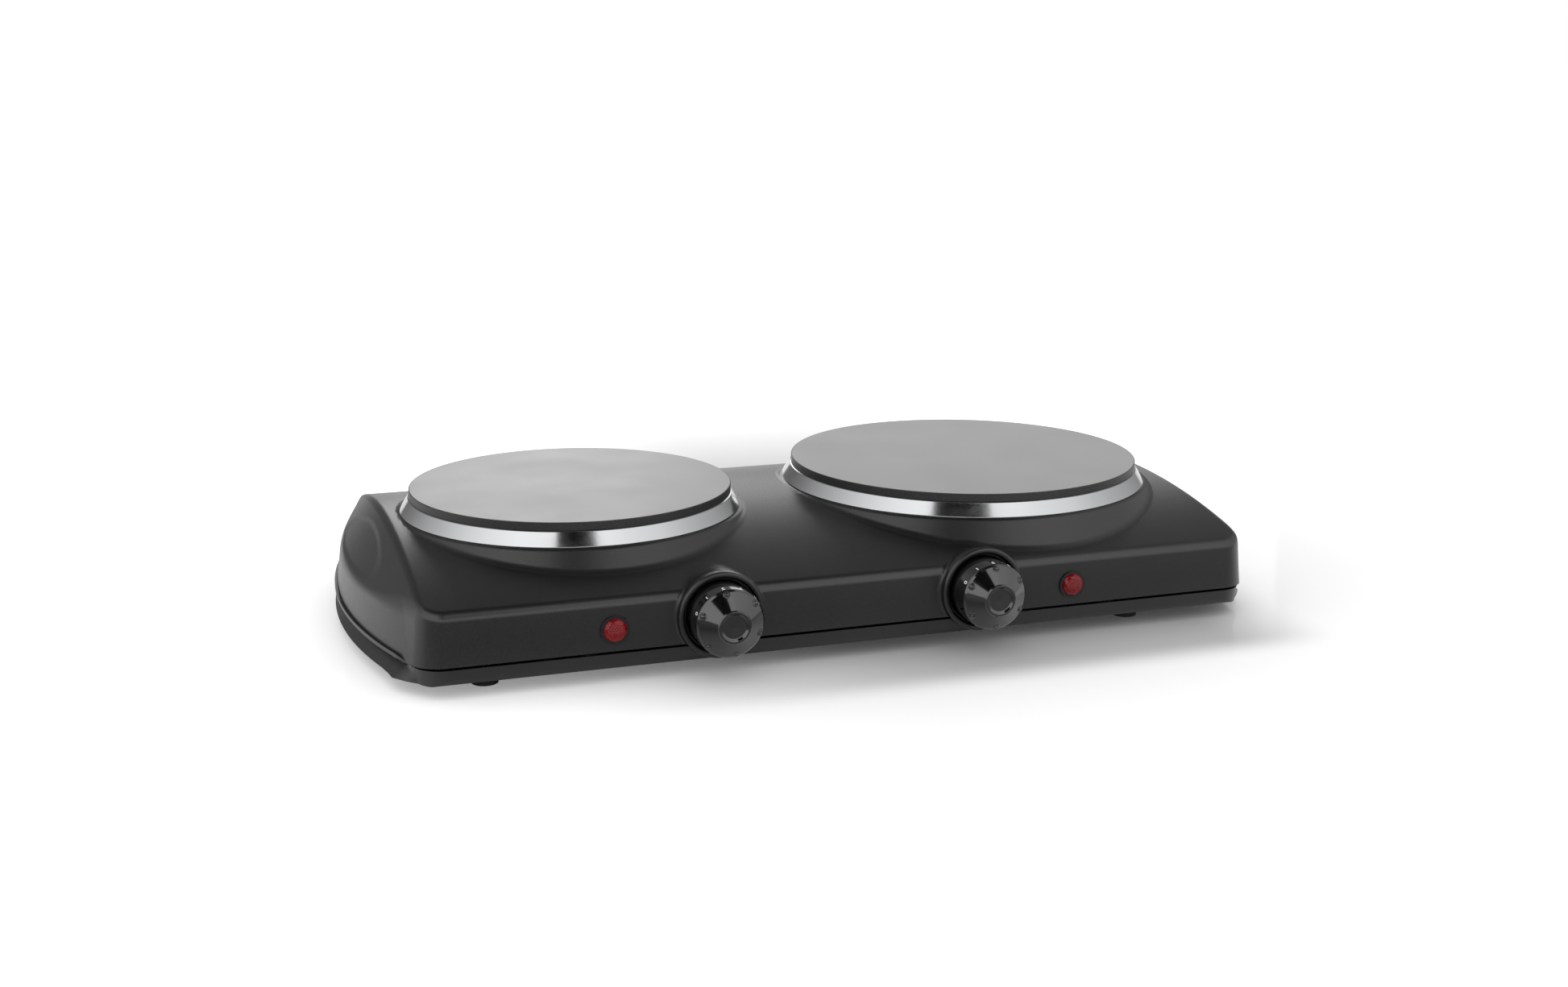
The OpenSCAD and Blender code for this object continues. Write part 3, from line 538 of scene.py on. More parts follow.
def moulded(name, code, rough, grain_mm=0.6, strength=0.06, more=None):
    """Moulded plastic or rubber: an even colour with the mould's slight waviness."""
    material, tree, place = new_material(name)
    grain = add(tree, "ShaderNodeTexNoise", {"Vector": place, "Scale": 1 / (grain_mm * MM),
                                             "Detail": 2.0})
    tint = add(tree, "ShaderNodeValToRGB", {"Fac": grain}, around_base(colour(code), 0.93, 1.07))
    bump = add(tree, "ShaderNodeBump", {"Height": grain, "Strength": strength, "Distance": 0.00005})
    body = add(tree, "ShaderNodeBsdfPrincipled", {"Base Color": tint, "Roughness": rough,
                                                  "Normal": bump, **(more or {})})
    add(tree, "ShaderNodeOutputMaterial", {"Surface": body})
    return material


def metal(name, code, rough, grain_mm=0.5, strength=0.15):
    """Plain metal parts: drawn, plated or turned, with a fine uneven grain."""
    material, tree, place = new_material(name)
    grain = add(tree, "ShaderNodeTexNoise", {"Vector": place, "Scale": 1 / (grain_mm * MM),
                                             "Detail": 3.0})
    tint = add(tree, "ShaderNodeValToRGB", {"Fac": grain}, around_base(colour(code), 0.85, 1))
    bump = add(tree, "ShaderNodeBump", {"Height": grain, "Strength": strength, "Distance": 0.00004})
    body = add(tree, "ShaderNodeBsdfPrincipled", {"Base Color": tint, "Metallic": 1.0,
                                                  "Roughness": rough, "Normal": bump})
    add(tree, "ShaderNodeOutputMaterial", {"Surface": body})
    return material


def red_lens():
    """Polycarbonate pilot lens, injection moulded in transparent red."""
    material, tree, place = new_material("polycarbonate_moulded_red")
    swirl = add(tree, "ShaderNodeTexNoise", {"Vector": place, "Scale": 1 / 0.0015, "Detail": 2.0})
    tint = add(tree, "ShaderNodeValToRGB", {"Fac": swirl},
               ((0.3, colour("#7a040c")), (0.7, colour("#960a15"))))
    lens = add(tree, "ShaderNodeBsdfPrincipled", {"Base Color": tint, "Roughness": 0.12, "IOR": 1.4,
                                                  "Transmission Weight": 0.35})
    add(tree, "ShaderNodeOutputMaterial", {"Surface": lens})
    return material


coat_shell = powder_coat("powder_coated_steel_fine", "#161617")
coat_pan = powder_coat("powder_coated_steel_pan", "#161617")
iron_face = turned_iron()
iron_rim = blackened_iron()
stainless = spun_stainless()
phenolic = moulded("phenolic_moulded_polished", "#0b0b0c", 0.12, 2.0, 0.03,
                   {"IOR": 1.63, "Coat Weight": 0.6})
print_white = moulded("enamel_ink_pad_printed", "#e8e8e6", 0.4, 0.4)
lamp_black = moulded("abs_moulded_black", "#141415", 0.3, 0.8)
lamp_red = red_lens()
rubber = moulded("rubber_moulded_black", "#141414", 0.7, 0.5, 0.3)
zinc = metal("steel_zinc_plated", "#b4b7b8", 0.32)
CAD_LOOKS = {
    "cast_iron_plate": iron_rim,
    "element_sheath": metal("steel_sheath_oxidised", "#6a6763", 0.45),
    "aluminised_steel": metal("steel_aluminised_sheet", "#bcbcb8", 0.38, 1.5),
    "zinc_steel": metal("steel_strip_zinc_plated", "#a2a5a7", 0.36),
    "screw_steel": zinc,
    "shaft_steel": metal("steel_turned_bright", "#c2c4c6", 0.25, 0.3),
    "brass": metal("brass_plain_stamped", "#c9b56a", 0.3),
    "steatite": moulded("steatite_pressed_fired", "#ddd6c5", 0.55, 0.6, 0.2),
    "dark_ceramic": moulded("phenolic_moulded_matt", "#3b3733", 0.5, 0.6, 0.2),
    "gland_plastic": moulded("polyamide_moulded_black", "#171718", 0.45, 0.7, 0.15),
    "block_plastic": moulded("polyamide_moulded_cream", "#d6cfbf", 0.45, 0.8, 0.12),
    "wire_brown": moulded("silicone_sleeve_brown", "#6b3b20", 0.55, 0.4, 0.3),
    "wire_blue": moulded("silicone_sleeve_blue", "#2d5290", 0.55, 0.4, 0.3),
    "wire_green": moulded("silicone_sleeve_green", "#7ba23f", 0.55, 0.4, 0.3),
    "powder_coat": coat_shell,
    "powder_coat_pan": coat_pan,
    "stainless_ring": stainless,
    "knob_plastic": phenolic,
    "lamp_plastic": lamp_black,
    "lamp_red": lamp_red,
    "rubber": rubber,
}

for entry in frame["record"]["subparts"]:
    mesh = frame["nodes"][entry["node"]].data
    mesh.materials.clear()
    mesh.materials.append(CAD_LOOKS[entry["material_slot"]])

# ---------- Upper housing ----------


def thinned(points, faces, share):
    """The skin cut off level at its lower edge, then with fewer faces where it is flat."""
    work = bmesh.new()
    work.from_mesh(raw_mesh("skin_draft", points, faces))
    bmesh.ops.bisect_plane(work, geom=work.verts[:] + work.edges[:] + work.faces[:],
                           plane_co=(0, 0, EDGE_Z * MM), plane_no=(0, 0, -1), clear_outer=True)
    bmesh.ops.triangulate(work, faces=work.faces)
    draft = raw_mesh("skin_cut", [], [])
    work.verts.index_update()
    inside = [v.index for v in work.verts if not v.is_boundary]
    work.to_mesh(draft)
    work.free()
    piece = link("skin_cut", draft)
    piece.vertex_groups.new(name="inside").add(inside, 1.0, "REPLACE")
    thinning = piece.modifiers.new("thinning", "DECIMATE")
    thinning.ratio = share
    thinning.vertex_group = "inside"
    plain(piece)
    spots = np.array([v.co for v in piece.data.vertices]) / MM
    tris = np.array([list(p.vertices) for p in piece.data.polygons])
    bpy.data.objects.remove(piece)
    return spots, tris


def open_edges(faces):
    """Edges used by one face only, in the direction in which that face runs."""
    tris = np.array(faces)
    edges = np.concatenate([tris[:, [0, 1]], tris[:, [1, 2]], tris[:, [2, 0]]])
    size = tris.max() + 1
    keys = edges[:, 0] * size + edges[:, 1]
    return edges[~np.isin(keys, edges[:, 1] * size + edges[:, 0])]


def in_openings(points):
    """Plate openings in the seats, and the holes behind the lamps and knobs."""
    hidden = np.zeros(len(points), bool)
    for side in SIDES:
        reach = np.hypot(points[:, 0] - plate_x[side], points[:, 1])
        hidden |= (reach < plate_r[side] - PLATE_LEDGE) & (points[:, 2] > seat_z - 1)
        for at, r in ((lamp_at[side], LAMP_HOLE_R), (knob_at[side], KNOB_HOLE_R)):
            reach = np.hypot(points[:, 0] - at[0], points[:, 2] - at[2])
            hidden |= (reach < r) & (points[:, 1] < -half_depth + 1)
    return hidden


def make_housing():
    """The pressed skin with its wall thickness, and the cups round the knobs."""
    low = np.array([-half_length - 3, -half_depth - CUP_OUT, EDGE_Z - 3 * SKIN_STEP]) - GRID_OFF
    high = np.array([half_length + 3, half_depth + 3, seat_z + 2])
    points, quads = surface_net(housing_form, low, high, SKIN_STEP)
    points, _ = settled(housing_form, points)
    quads = quads[~in_openings(points[quads].mean(1))]
    points, faces = thinned(points, quads, SKIN_KEPT)
    bottom = np.abs(points[:, 2] - EDGE_Z) < 1e-3
    points, normals = settled(housing_form, points, 2)
    points[bottom, 2] = EDGE_Z
    faces = np.array(faces)
    used, index = np.unique(faces, return_inverse=True)
    points, normals, faces = points[used], normals[used], index.reshape(-1, 3)
    count = len(points)
    inner = points - WALL * normals
    rim = np.array([[b, a, a + count, b + count] for a, b in open_edges(faces)])
    all_faces = list(faces) + list(faces[:, ::-1] + count) + list(rim)
    corner = [normals[faces].reshape(-1, 3), -normals[faces[:, ::-1]].reshape(-1, 3)]
    spots = np.concatenate([points, inner])
    side_a = spots[rim[:, 1]] - spots[rim[:, 0]]
    side_b = spots[rim[:, 3]] - spots[rim[:, 0]]
    flat = np.cross(side_a, side_b)
    flat /= np.maximum(np.linalg.norm(flat, axis=1), 1e-9)[:, None]
    corner.append(np.repeat(flat, 4, axis=0))
    skin = (spots, all_faces, np.concatenate(corner))
    cups = []
    for side in SIDES:
        floor = -half_depth - WALL
        inner_r = CUP_R - CUP_WALL
        centre = [knob_at[side][0], floor, knob_at[side][2]]
        lip = half_depth + CUP_OUT + floor
        cups.append(turned([(BUSH_HOLE_R, 0), (inner_r, 0, 0.8), (inner_r, lip, 1.1),
                            (CUP_R, lip, 1.1), (CUP_R, -WALL + 0.3, 0.3),
                            (inner_r, -WALL + 0.3, 0.3), (inner_r, -WALL),
                            (BUSH_HOLE_R, -WALL)][::-1],
                           centre, facets=192, front=True, closed=True))
    points, faces, normals, _ = merged(skin, *cups)
    points[:, 1] += mid_y
    return finished("housing", points, faces, normals, [coat_shell], "root", "powder_coat",
                    ["upper_housing"])


# The housing is worked out about its own middle, so the places in it move there and back
for side in SIDES:
    for place in (knob_at, lamp_at):
        place[side] = place[side] - [0, mid_y, 0]
make_housing()

# ---------- Base pan ----------

PAN_DRAW = 8.0            # the solid pan's bottom is drawn in this far at its ends
LIP_HUG = 1.1             # the end lips stand out from the housing by this
LIP_FADE_Y = (94, 106)    # they run out towards the corners between these
CORNER_BACK = 4.8         # the corners' bottom stands back from the housing
END_TUCK = 4.4            # the rest of an end is drawn in this much more
TUCK_SHARE = ((0, 1), (2.7, 0.93), (6.3, 0.85), (7.3, 0.8))    # of that, at each height
TUCK_STEEP = 2.5          # how soon, from the corners, that draw is reached
LIP_SHARE = ((0, 0), (0.7, 0.7), (1.4, 1))    # how far out the lip is, at each height on it
LIP_SUNK = 0.97           # share of the lip's height lost in a corner; what is left keeps it closed
PAN_CUTS = (0.9, 1.8, 2.7, 4.5, 6.3, 7.6, 7.8, 8.0, 8.3, 8.7, 9.5)    # heights of added points
PAN_RUN = 20.0            # the front and back walls follow an end's shift over this length
PAN_BORDER = (12.0, 2.0)  # only what is within this of the outline moves, faded over the second
PAN_MERGE = 0.005         # points closer than this are one
PAN_SHARP = math.radians(32)    # edges sharper than this stay sharp


def make_pan():
    """The pan with its end walls under the housing's edge and their lips turned up round it."""
    work = bmesh.new()
    work.from_mesh(frame["nodes"]["base_pan"].data)
    bmesh.ops.remove_doubles(work, verts=work.verts, dist=PAN_MERGE * MM)
    for level in PAN_CUTS:
        bmesh.ops.bisect_plane(work, geom=work.verts[:] + work.edges[:] + work.faces[:],
                               plane_co=(0, 0, (pan_z + level) * MM), plane_no=(0, 0, 1), dist=1e-7)
    spots = np.array([v.co for v in work.verts]) / MM
    x, y, up = spots[:, 0], spots[:, 1] - mid_y, spots[:, 2] - pan_z
    brim = PAN_TOP_Z - pan_z
    lip_out = pan_high[0] - shell_high[0]
    drawn = np.minimum((PAN_DRAW + lip_out) * up / brim - PAN_DRAW, lip_out)
    tuck = CORNER_BACK + END_TUCK * np.clip(TUCK_STEEP * (1 - (y / LIP_FADE_Y[1]) ** 2), 0, 1)
    lip = 1 - smooth((np.abs(y) - LIP_FADE_Y[0]) / (LIP_FADE_Y[1] - LIP_FADE_Y[0]))
    share = np.interp(up, *np.transpose(TUCK_SHARE))
    out = np.interp(up - brim, *np.transpose(LIP_SHARE))
    end = LIP_HUG * out - tuck * share * (1 - out) - drawn
    shift = end * lip - CORNER_BACK * share * (1 - lip)
    shift *= smooth((np.abs(x) - CORNER_X + PAN_RUN) / PAN_RUN)
    shift *= smooth((plan_form(x, y) + PAN_BORDER[0]) / PAN_BORDER[1])
    spots[:, 0] += np.sign(x) * shift
    spots[:, 2] -= np.maximum(up - brim, 0) * (1 - lip) * LIP_SUNK
    for v, spot in zip(work.verts, spots):
        v.co = spot * MM
    bmesh.ops.triangulate(work, faces=work.faces)
    mesh = bpy.data.meshes.new("pan")
    work.to_mesh(mesh)
    work.free()
    mesh.polygons.foreach_set("use_smooth", [True] * len(mesh.polygons))
    mesh.set_sharp_from_angle(angle=PAN_SHARP)
    mesh.materials.append(coat_pan)
    settle_in(link("pan", mesh), "root", ["base_pan"])


make_pan()

# ---------- Plates and rings ----------

FACE_EDGE = 0.45          # the turned face ends this far inside the rim
SKIRT = (9.0, 4.0)        # inside and outside of the skirt under a plate, in from its rim
BOSS_R = 12.0             # boss in the middle of its underside
RECESS = 8.0              # depth of the underside between them
RING_IN = 3.8             # the trim ring reaches this far in under the rim

for side in SIDES:
    r = plate_r[side]
    centre = [plate_x[side], mid_y, 0]
    low = plate_low[side][2]
    face = turned([(r - FACE_EDGE, plate_top_z), (0, plate_top_z)], centre, 256)
    body = turned([(0, low), (BOSS_R, low), (BOSS_R, low + RECESS), (r - SKIRT[0], low + RECESS),
                   (r - SKIRT[0], low), (r - SKIRT[1], low), (r - SKIRT[1], ring_top_z),
                   (r, ring_top_z, 0.3), (r, plate_top_z, 0.35),
                   (r - FACE_EDGE, plate_top_z)], centre, 256)
    points, faces, normals, kinds = merged(face, body)
    finished(side + "_plate", points, faces, normals, [iron_face, iron_rim], "root",
             "cast_iron_plate", [side + "_hotplate"], kinds)
    flare = FLARE_R[side] - RISER_OUT
    ring = turned([(r - RING_IN, ring_top_z - 0.6), (r - 0.3, ring_top_z - 0.6, 0.3),
                   (flare - 1.2, seat_z + 0.05), (flare, seat_z + 0.05, 0.2),
                   (flare, seat_z + 0.5, 0.3), (r + 0.6, ring_top_z - 0.3, 0.5),
                   (r + 0.1, ring_top_z, 0.3), (r - RING_IN, ring_top_z)],
                  centre, 256, closed=True)
    finished(side + "_ring", *ring, [stainless], "root", "stainless_ring", [side + "_trim_ring"])

# ---------- Copies set round an axis ----------


def ring_tree():
    """Geometry Nodes: copies of the piece's own mesh, set round local +Z."""
    tree = bpy.data.node_groups.new("ring_of_copies", "GeometryNodeTree")
    for name, kind in (("Shape", "Geometry"), ("Count", "Int"), ("Radius", "Float"),
                       ("Height", "Float"), ("First angle", "Float"), ("Lean", "Float"),
                       ("Material", "Material")):
        tree.interface.new_socket(name, in_out="INPUT", socket_type="NodeSocket" + kind)
    tree.interface.new_socket("Copies", in_out="OUTPUT", socket_type="NodeSocketGeometry")
    given = add(tree, "NodeGroupInput").outputs
    spots = add(tree, "GeometryNodePoints", {"Count": given["Count"]})
    index = add(tree, "GeometryNodeInputIndex")
    share = add(tree, "ShaderNodeMath", {0: index, 1: given["Count"]}, operation="DIVIDE")
    angle = add(tree, "ShaderNodeMath", {0: share, 1: TURN, 2: given["First angle"]},
                operation="MULTIPLY_ADD")
    across = add(tree, "ShaderNodeCombineXYZ", {"X": given["Radius"], "Z": given["Height"]})
    out = add(tree, "ShaderNodeVectorRotate", {"Vector": across, "Angle": angle},
              rotation_type="Z_AXIS")
    placed = add(tree, "GeometryNodeSetPosition", {"Geometry": spots, "Position": out})
    turn = add(tree, "ShaderNodeCombineXYZ", {"Y": given["Lean"], "Z": angle})
    copies = add(tree, "GeometryNodeInstanceOnPoints", {"Points": placed,
                                                        "Instance": given["Shape"],
                                                        "Rotation": turn})
    real = add(tree, "GeometryNodeRealizeInstances", {0: copies})
    dressed = add(tree, "GeometryNodeSetMaterial", {"Geometry": real,
                                                    "Material": given["Material"]})
    add(tree, "NodeGroupOutput", {"Copies": dressed})
    return tree


def ring_of(name, shape, material, count, radius, height, first, lean):
    """Copies of a shape as a finished mesh, about local +Z."""
    points, faces, normals = shape[:3]
    mesh = raw_mesh(name, points, faces)
    mesh.polygons.foreach_set("use_smooth", [True] * len(mesh.polygons))
    piece = link(name, mesh)
    ring = piece.modifiers.new("ring", "NODES")
    ring.node_group = copies_round_axis
    wanted = {"Count": count, "Radius": radius * MM, "Height": height * MM, "First angle": first,
              "Lean": lean, "Material": material}
    for socket in copies_round_axis.interface.items_tree:
        if socket.name in wanted:
            ring[socket.identifier] = wanted[socket.name]
    return plain(piece)


def moved(piece, matrix):
    """The same piece with its place worked into its mesh."""
    piece.data.transform(matrix)
    piece.data.update()
    return piece


def facing_user(centre):
    """Takes local +Z out towards the user, with the axis at this place."""
    return Matrix.Translation(Vector(centre) * MM) @ Matrix.Rotation(math.pi / 2, 4, "X")


copies_round_axis = ring_tree()

# ---------- Knobs ----------

KNOB_L = 15.3             # side band
KNOB_R = (knob_high[0] - knob_low[0]) / 2
KNOB_EDGE_R = KNOB_R - 0.8
KNOB_FRONT = knob_high[1] - knob_low[1]
EYE_R = 7.5
CAVITY_R = 13.6
HUB_R = 5.5
BORE_R = 3.2
NUB_COUNT = 6
NUB_AT = (14.1, 16.0)     # out from the axis and forward from the back
NUB_LEAN = math.radians(39)
FIRST_NUB = {"left": 39, "right": 32}
ZERO_AT = {"left": 160, "right": 151}
DIGIT_STEP = 30
DIGIT_H = 2.3
DIGIT_T = 0.05            # half the ink's thickness
DIGIT_BACK = 1.2          # from the band's front edge to the foot of a digit
DIGIT_FILL = 0.72         # a numeral's height, as a share of the type size
STROKE = 0.06             # added to the strokes, so that they print boldly
BAND_EDGE = 0.8           # height of the rounding at the band's front
SOCKET_BACK = 6.5         # the hub starts this far in from the knob's back


def digit_mesh(text, angle):
    """A digit wrapped round the knob's side band, its foot towards the user."""
    curve = bpy.data.curves.new("digit", "FONT")
    curve.body = text
    curve.align_x = "CENTER"
    curve.size = DIGIT_H / DIGIT_FILL
    curve.offset = STROKE
    curve.extrude = DIGIT_T
    curve.resolution_u = 3
    flat = link("digit", curve)
    graph = bpy.context.evaluated_depsgraph_get()
    mesh = bpy.data.meshes.new_from_object(flat.evaluated_get(graph))
    bpy.data.objects.remove(flat)
    work = bmesh.new()
    work.from_mesh(mesh)
    bmesh.ops.remove_doubles(work, verts=work.verts, dist=1e-4)
    bmesh.ops.triangulate(work, faces=work.faces)
    bmesh.ops.subdivide_edges(work, edges=work.edges, cuts=1)
    bmesh.ops.triangulate(work, faces=work.faces)
    points = []
    for v in work.verts:
        along = KNOB_L - BAND_EDGE - DIGIT_BACK - v.co.y
        r = KNOB_R - (KNOB_R - KNOB_EDGE_R) * along / KNOB_L + v.co.z
        swing = angle + v.co.x / r
        points.append([r * math.cos(swing), r * math.sin(swing), along])
    work.verts.index_update()
    faces = [[v.index for v in f.verts][::-1] for f in work.faces]
    work.free()
    points = np.array(points)
    normals = points * [1, 1, 0]
    normals /= np.linalg.norm(normals, axis=1)[:, None]
    return points, faces, normals


knob_outline = [(0, KNOB_FRONT - 1.1), (EYE_R - 2.1, KNOB_FRONT - 0.9, 1.2),
                (EYE_R - 1.1, KNOB_FRONT - 0.1, 0.3), (EYE_R - 0.2, KNOB_FRONT - 0.05, 0.35),
                (EYE_R + 0.25, KNOB_FRONT - 0.75, 0.3), (KNOB_EDGE_R - 0.9, KNOB_L + 0.15, 0.5),
                (KNOB_EDGE_R, KNOB_L - BAND_EDGE, 0.7), (KNOB_R, 0.6, 0.4),
                (KNOB_R - 0.4, 0, 0.3), (CAVITY_R + 0.9, 0, 0.3), (CAVITY_R, KNOB_L - 2),
                (HUB_R, KNOB_L - 2), (HUB_R, SOCKET_BACK), (BORE_R, SOCKET_BACK),
                (BORE_R, KNOB_L - 1.5), (0, KNOB_L - 1.5)][::-1]
nub_outline = [(0, -0.3), (1.75, -0.3), (1.75, 0.05, 0.2), (1.4, 0.22, 0.1), (1.15, 0.0, 0.12),
               (0.95, 0.1, 0.1), (0.75, 0.75, 0.35), (0, 0.95)]

for side in SIDES:
    body = side + "_control"
    centre = knob_at[side] + [0, mid_y, 0]
    points, faces, normals = turned(knob_outline, centre, 144, front=True, steps=5)
    finished(side + "_knob_body", points, faces, normals, [phenolic], body, "knob_plastic",
             [side + "_knob"])
    nubs = ring_of(side + "_knob_nubs", turned(nub_outline, (0, 0, 0), 20, steps=3), phenolic,
                   NUB_COUNT, NUB_AT[0], NUB_AT[1], math.radians(FIRST_NUB[side]), NUB_LEAN)
    settle_in(moved(nubs, facing_user(centre)), body)
    digits = [digit_mesh(str(n), math.radians(ZERO_AT[side] - DIGIT_STEP * n)) for n in range(10)]
    points, faces, normals = [], [], []
    for spots, tris, out in digits:
        faces.extend([[i + len(points) for i in tri] for tri in tris])
        points.extend(spots)
        normals.extend(out)
    finished(side + "_knob_digits", to_front(np.array(points)) + centre, faces,
             to_front(np.array(normals)), [print_white], body, "knob_plastic")

# ---------- Pilot lamps ----------

LAMP_R = (lens_high[0] - lens_low[0]) / 2 - 0.45
LAMP_FLANGE_T = 0.9
LAMP_DOME = 2.5           # the dome's crown above the flange
LAMP_STEM = (3.8, 7.8)    # radius and length of the stem behind it
LAMP_FALL = (1.0, 1.1)    # the dome's fall to its edge: the round part, and the turned-down rim
LAMP_RIM = (1.0, 0.6)     # the pyramids end this far inside the edge, faded over the second
FACET = 1.05              # width of the pyramids moulded into the lens
FACET_DEEP = 0.16


def lens_height(r):
    """Height of the smooth dome, at this distance from its middle."""
    share = r / LAMP_R
    return LAMP_FLANGE_T + LAMP_DOME - LAMP_FALL[0] * share ** 2 - LAMP_FALL[1] * share ** 8


def lens_mesh(centre):
    """Domed lens with rows of small moulded pyramids, and the stem behind it."""
    rings, around = 34, 120
    points = [[0.0, 0.0]]
    for k in range(1, rings + 1):
        r = LAMP_R * k / rings
        points.extend([[r * math.cos(t), r * math.sin(t)] for t in np.arange(around) * TURN / around])
    flat = np.array(points)
    r = np.hypot(*flat.T)
    u = (flat[:, 0] + flat[:, 1]) / math.sqrt(2) / FACET
    v = (flat[:, 0] - flat[:, 1]) / math.sqrt(2) / FACET
    peak = np.minimum(0.5 - np.abs(u % 1 - 0.5), 0.5 - np.abs(v % 1 - 0.5)) * 2
    fade = np.clip((LAMP_R - LAMP_RIM[0] - r) / LAMP_RIM[1], 0, 1)
    points = np.column_stack([flat, lens_height(r) + FACET_DEEP * peak * fade])
    faces = [[0, 1 + i, 1 + (i + 1) % around] for i in range(around)]
    for k in range(rings - 1):
        a = 1 + k * around
        faces.extend([a + i, a + around + i, a + around + (i + 1) % around, a + (i + 1) % around]
                     for i in range(around))
    normals = []
    for face in faces:
        a, b, c = points[face[0]], points[face[1]], points[face[2]]
        flat_normal = np.cross(b - a, c - a)
        normals.extend([flat_normal / np.linalg.norm(flat_normal)] * len(face))
    stem_r, stem_l = LAMP_STEM
    back = LAMP_FLANGE_T - 0.1
    skirt = turned([(0, -stem_l), (stem_r, -stem_l), (stem_r, back), (LAMP_R, back),
                    (LAMP_R, lens_height(LAMP_R))], (0, 0, 0), around)
    points, faces, normals, _ = merged((points, faces, np.array(normals)), skirt)
    return to_front(points) + centre, faces, to_front(normals)


for side in SIDES:
    centre = [lamp_at[side][0], mid_y - half_depth, lamp_at[side][2]]
    finished(side + "_lamp_dome", *lens_mesh(centre), [lamp_red], "root", "lamp_red",
             [side + "_lamp_lens"])

# ---------- Camera, floor and lights ----------

scene = bpy.context.scene
scene.view_settings.view_transform = "Standard"

CAMERA_AT = (-0.3017, -0.8605, 0.2774)
AZIMUTH = math.radians(19.14)
ELEVATION = math.radians(13.82)
ROLL = math.radians(0.25)
optics = bpy.data.cameras.new("camera")
optics.lens = 42.5
optics.sensor_width = 36
camera = link("camera", optics)
right = Vector((math.cos(AZIMUTH), -math.sin(AZIMUTH), 0))
ahead = Vector((math.sin(AZIMUTH) * math.cos(ELEVATION), math.cos(AZIMUTH) * math.cos(ELEVATION),
                -math.sin(ELEVATION)))
above = right.cross(ahead)
axis_x = right * math.cos(ROLL) + above * math.sin(ROLL)
axis_y = above * math.cos(ROLL) - right * math.sin(ROLL)
camera.matrix_world = Matrix.Translation(CAMERA_AT) @ Matrix(
    (axis_x, axis_y, -ahead)).transposed().to_4x4()
scene.camera = camera

FLOOR = 3.0               # half the floor's width, in metres
FLOOR_CORE = (0.24, 0.127)    # half length and depth that the hot plate takes up on it
FLOOR_SHINE = 0.3         # share kept of the floor's reflection
AMBIENT = 1.0             # level of the light that falls on the object from all round
# Brightness of the studio seen in glossy surfaces: by azimuth, from the front round by the
# left, and by the sine of the elevation
STUDIO_ROUND = ((0, 1.6), (33, 1.7), (58, 1.7), (81, 1.5), (101, 1.2), (119, 0.85), (135, 0.6),
                (150, 0.35), (165, 0.2), (180, 0.2), (220, 0.25), (236, 0.4), (251, 0.6), (266, 0.75),
                (282, 0.95), (300, 1.25), (320, 1.4), (339, 1.6), (360, 1.6))
STUDIO_UP = ((0.0, 1.0), (0.86, 1.0), (0.9, 0.06), (1.0, 0.06))
# Corners, in millimetres, of a black flag over the front that only reflections see, so that
# a dark gap shows in the rings
FLAG = ((-287, -383, 491), (-760, -1240, 640), (90, -1381, 640), (75, -1449, 1826), (-287, -383, 900))
# Name, azimuth, elevation, distance, width, height, brightness
SOFTBOXES = (("softbox_behind_left", 186, 17, 2.0, 0.5, 0.65, 2.4),
             ("softbox_behind_right", 207, 16, 2.0, 1.0, 0.6, 1.3))

world = bpy.data.worlds.new("studio")
scene.world = world
world.use_nodes = True
world.cycles.sampling_method = "NONE"    # each kind of ray finds only its own part
tree = world.node_tree
tree.nodes.clear()
rays = add(tree, "ShaderNodeLightPath").outputs
way = add(tree, "ShaderNodeTexCoord").outputs["Object"]
way = add(tree, "ShaderNodeSeparateXYZ", {0: way}).outputs
around = add(tree, "ShaderNodeMath", {0: way["X"], 1: way["Y"]}, operation="ARCTAN2")
around = add(tree, "ShaderNodeMapRange", {"Value": around, "From Min": -math.pi,
                                          "From Max": math.pi})
all_round = add(tree, "ShaderNodeValToRGB", {"Fac": around},
                [(turn / 360, grey(level)) for turn, level in STUDIO_ROUND])
upwards = add(tree, "ShaderNodeValToRGB", {"Fac": way["Z"]},
              [(rise, grey(level)) for rise, level in STUDIO_UP])
bright = add(tree, "ShaderNodeMixRGB", {"Fac": 1.0, "Color1": all_round, "Color2": upwards},
             blend_type="MULTIPLY")
soft = add(tree, "ShaderNodeBackground", {"Color": grey(1), "Strength": AMBIENT})
mirrored = add(tree, "ShaderNodeBackground", {"Color": bright, "Strength": 1.0})
white = add(tree, "ShaderNodeBackground", {"Color": grey(1), "Strength": 1.0})
clear = add(tree, "ShaderNodeMath", {0: rays["Is Glossy Ray"], 1: rays["Is Transmission Ray"]},
            operation="MAXIMUM")
lit = add(tree, "ShaderNodeMixShader", {0: clear, 1: soft, 2: mirrored})
seen = add(tree, "ShaderNodeMixShader", {0: rays["Is Camera Ray"], 1: lit, 2: white})
add(tree, "ShaderNodeOutputWorld", {"Surface": seen})
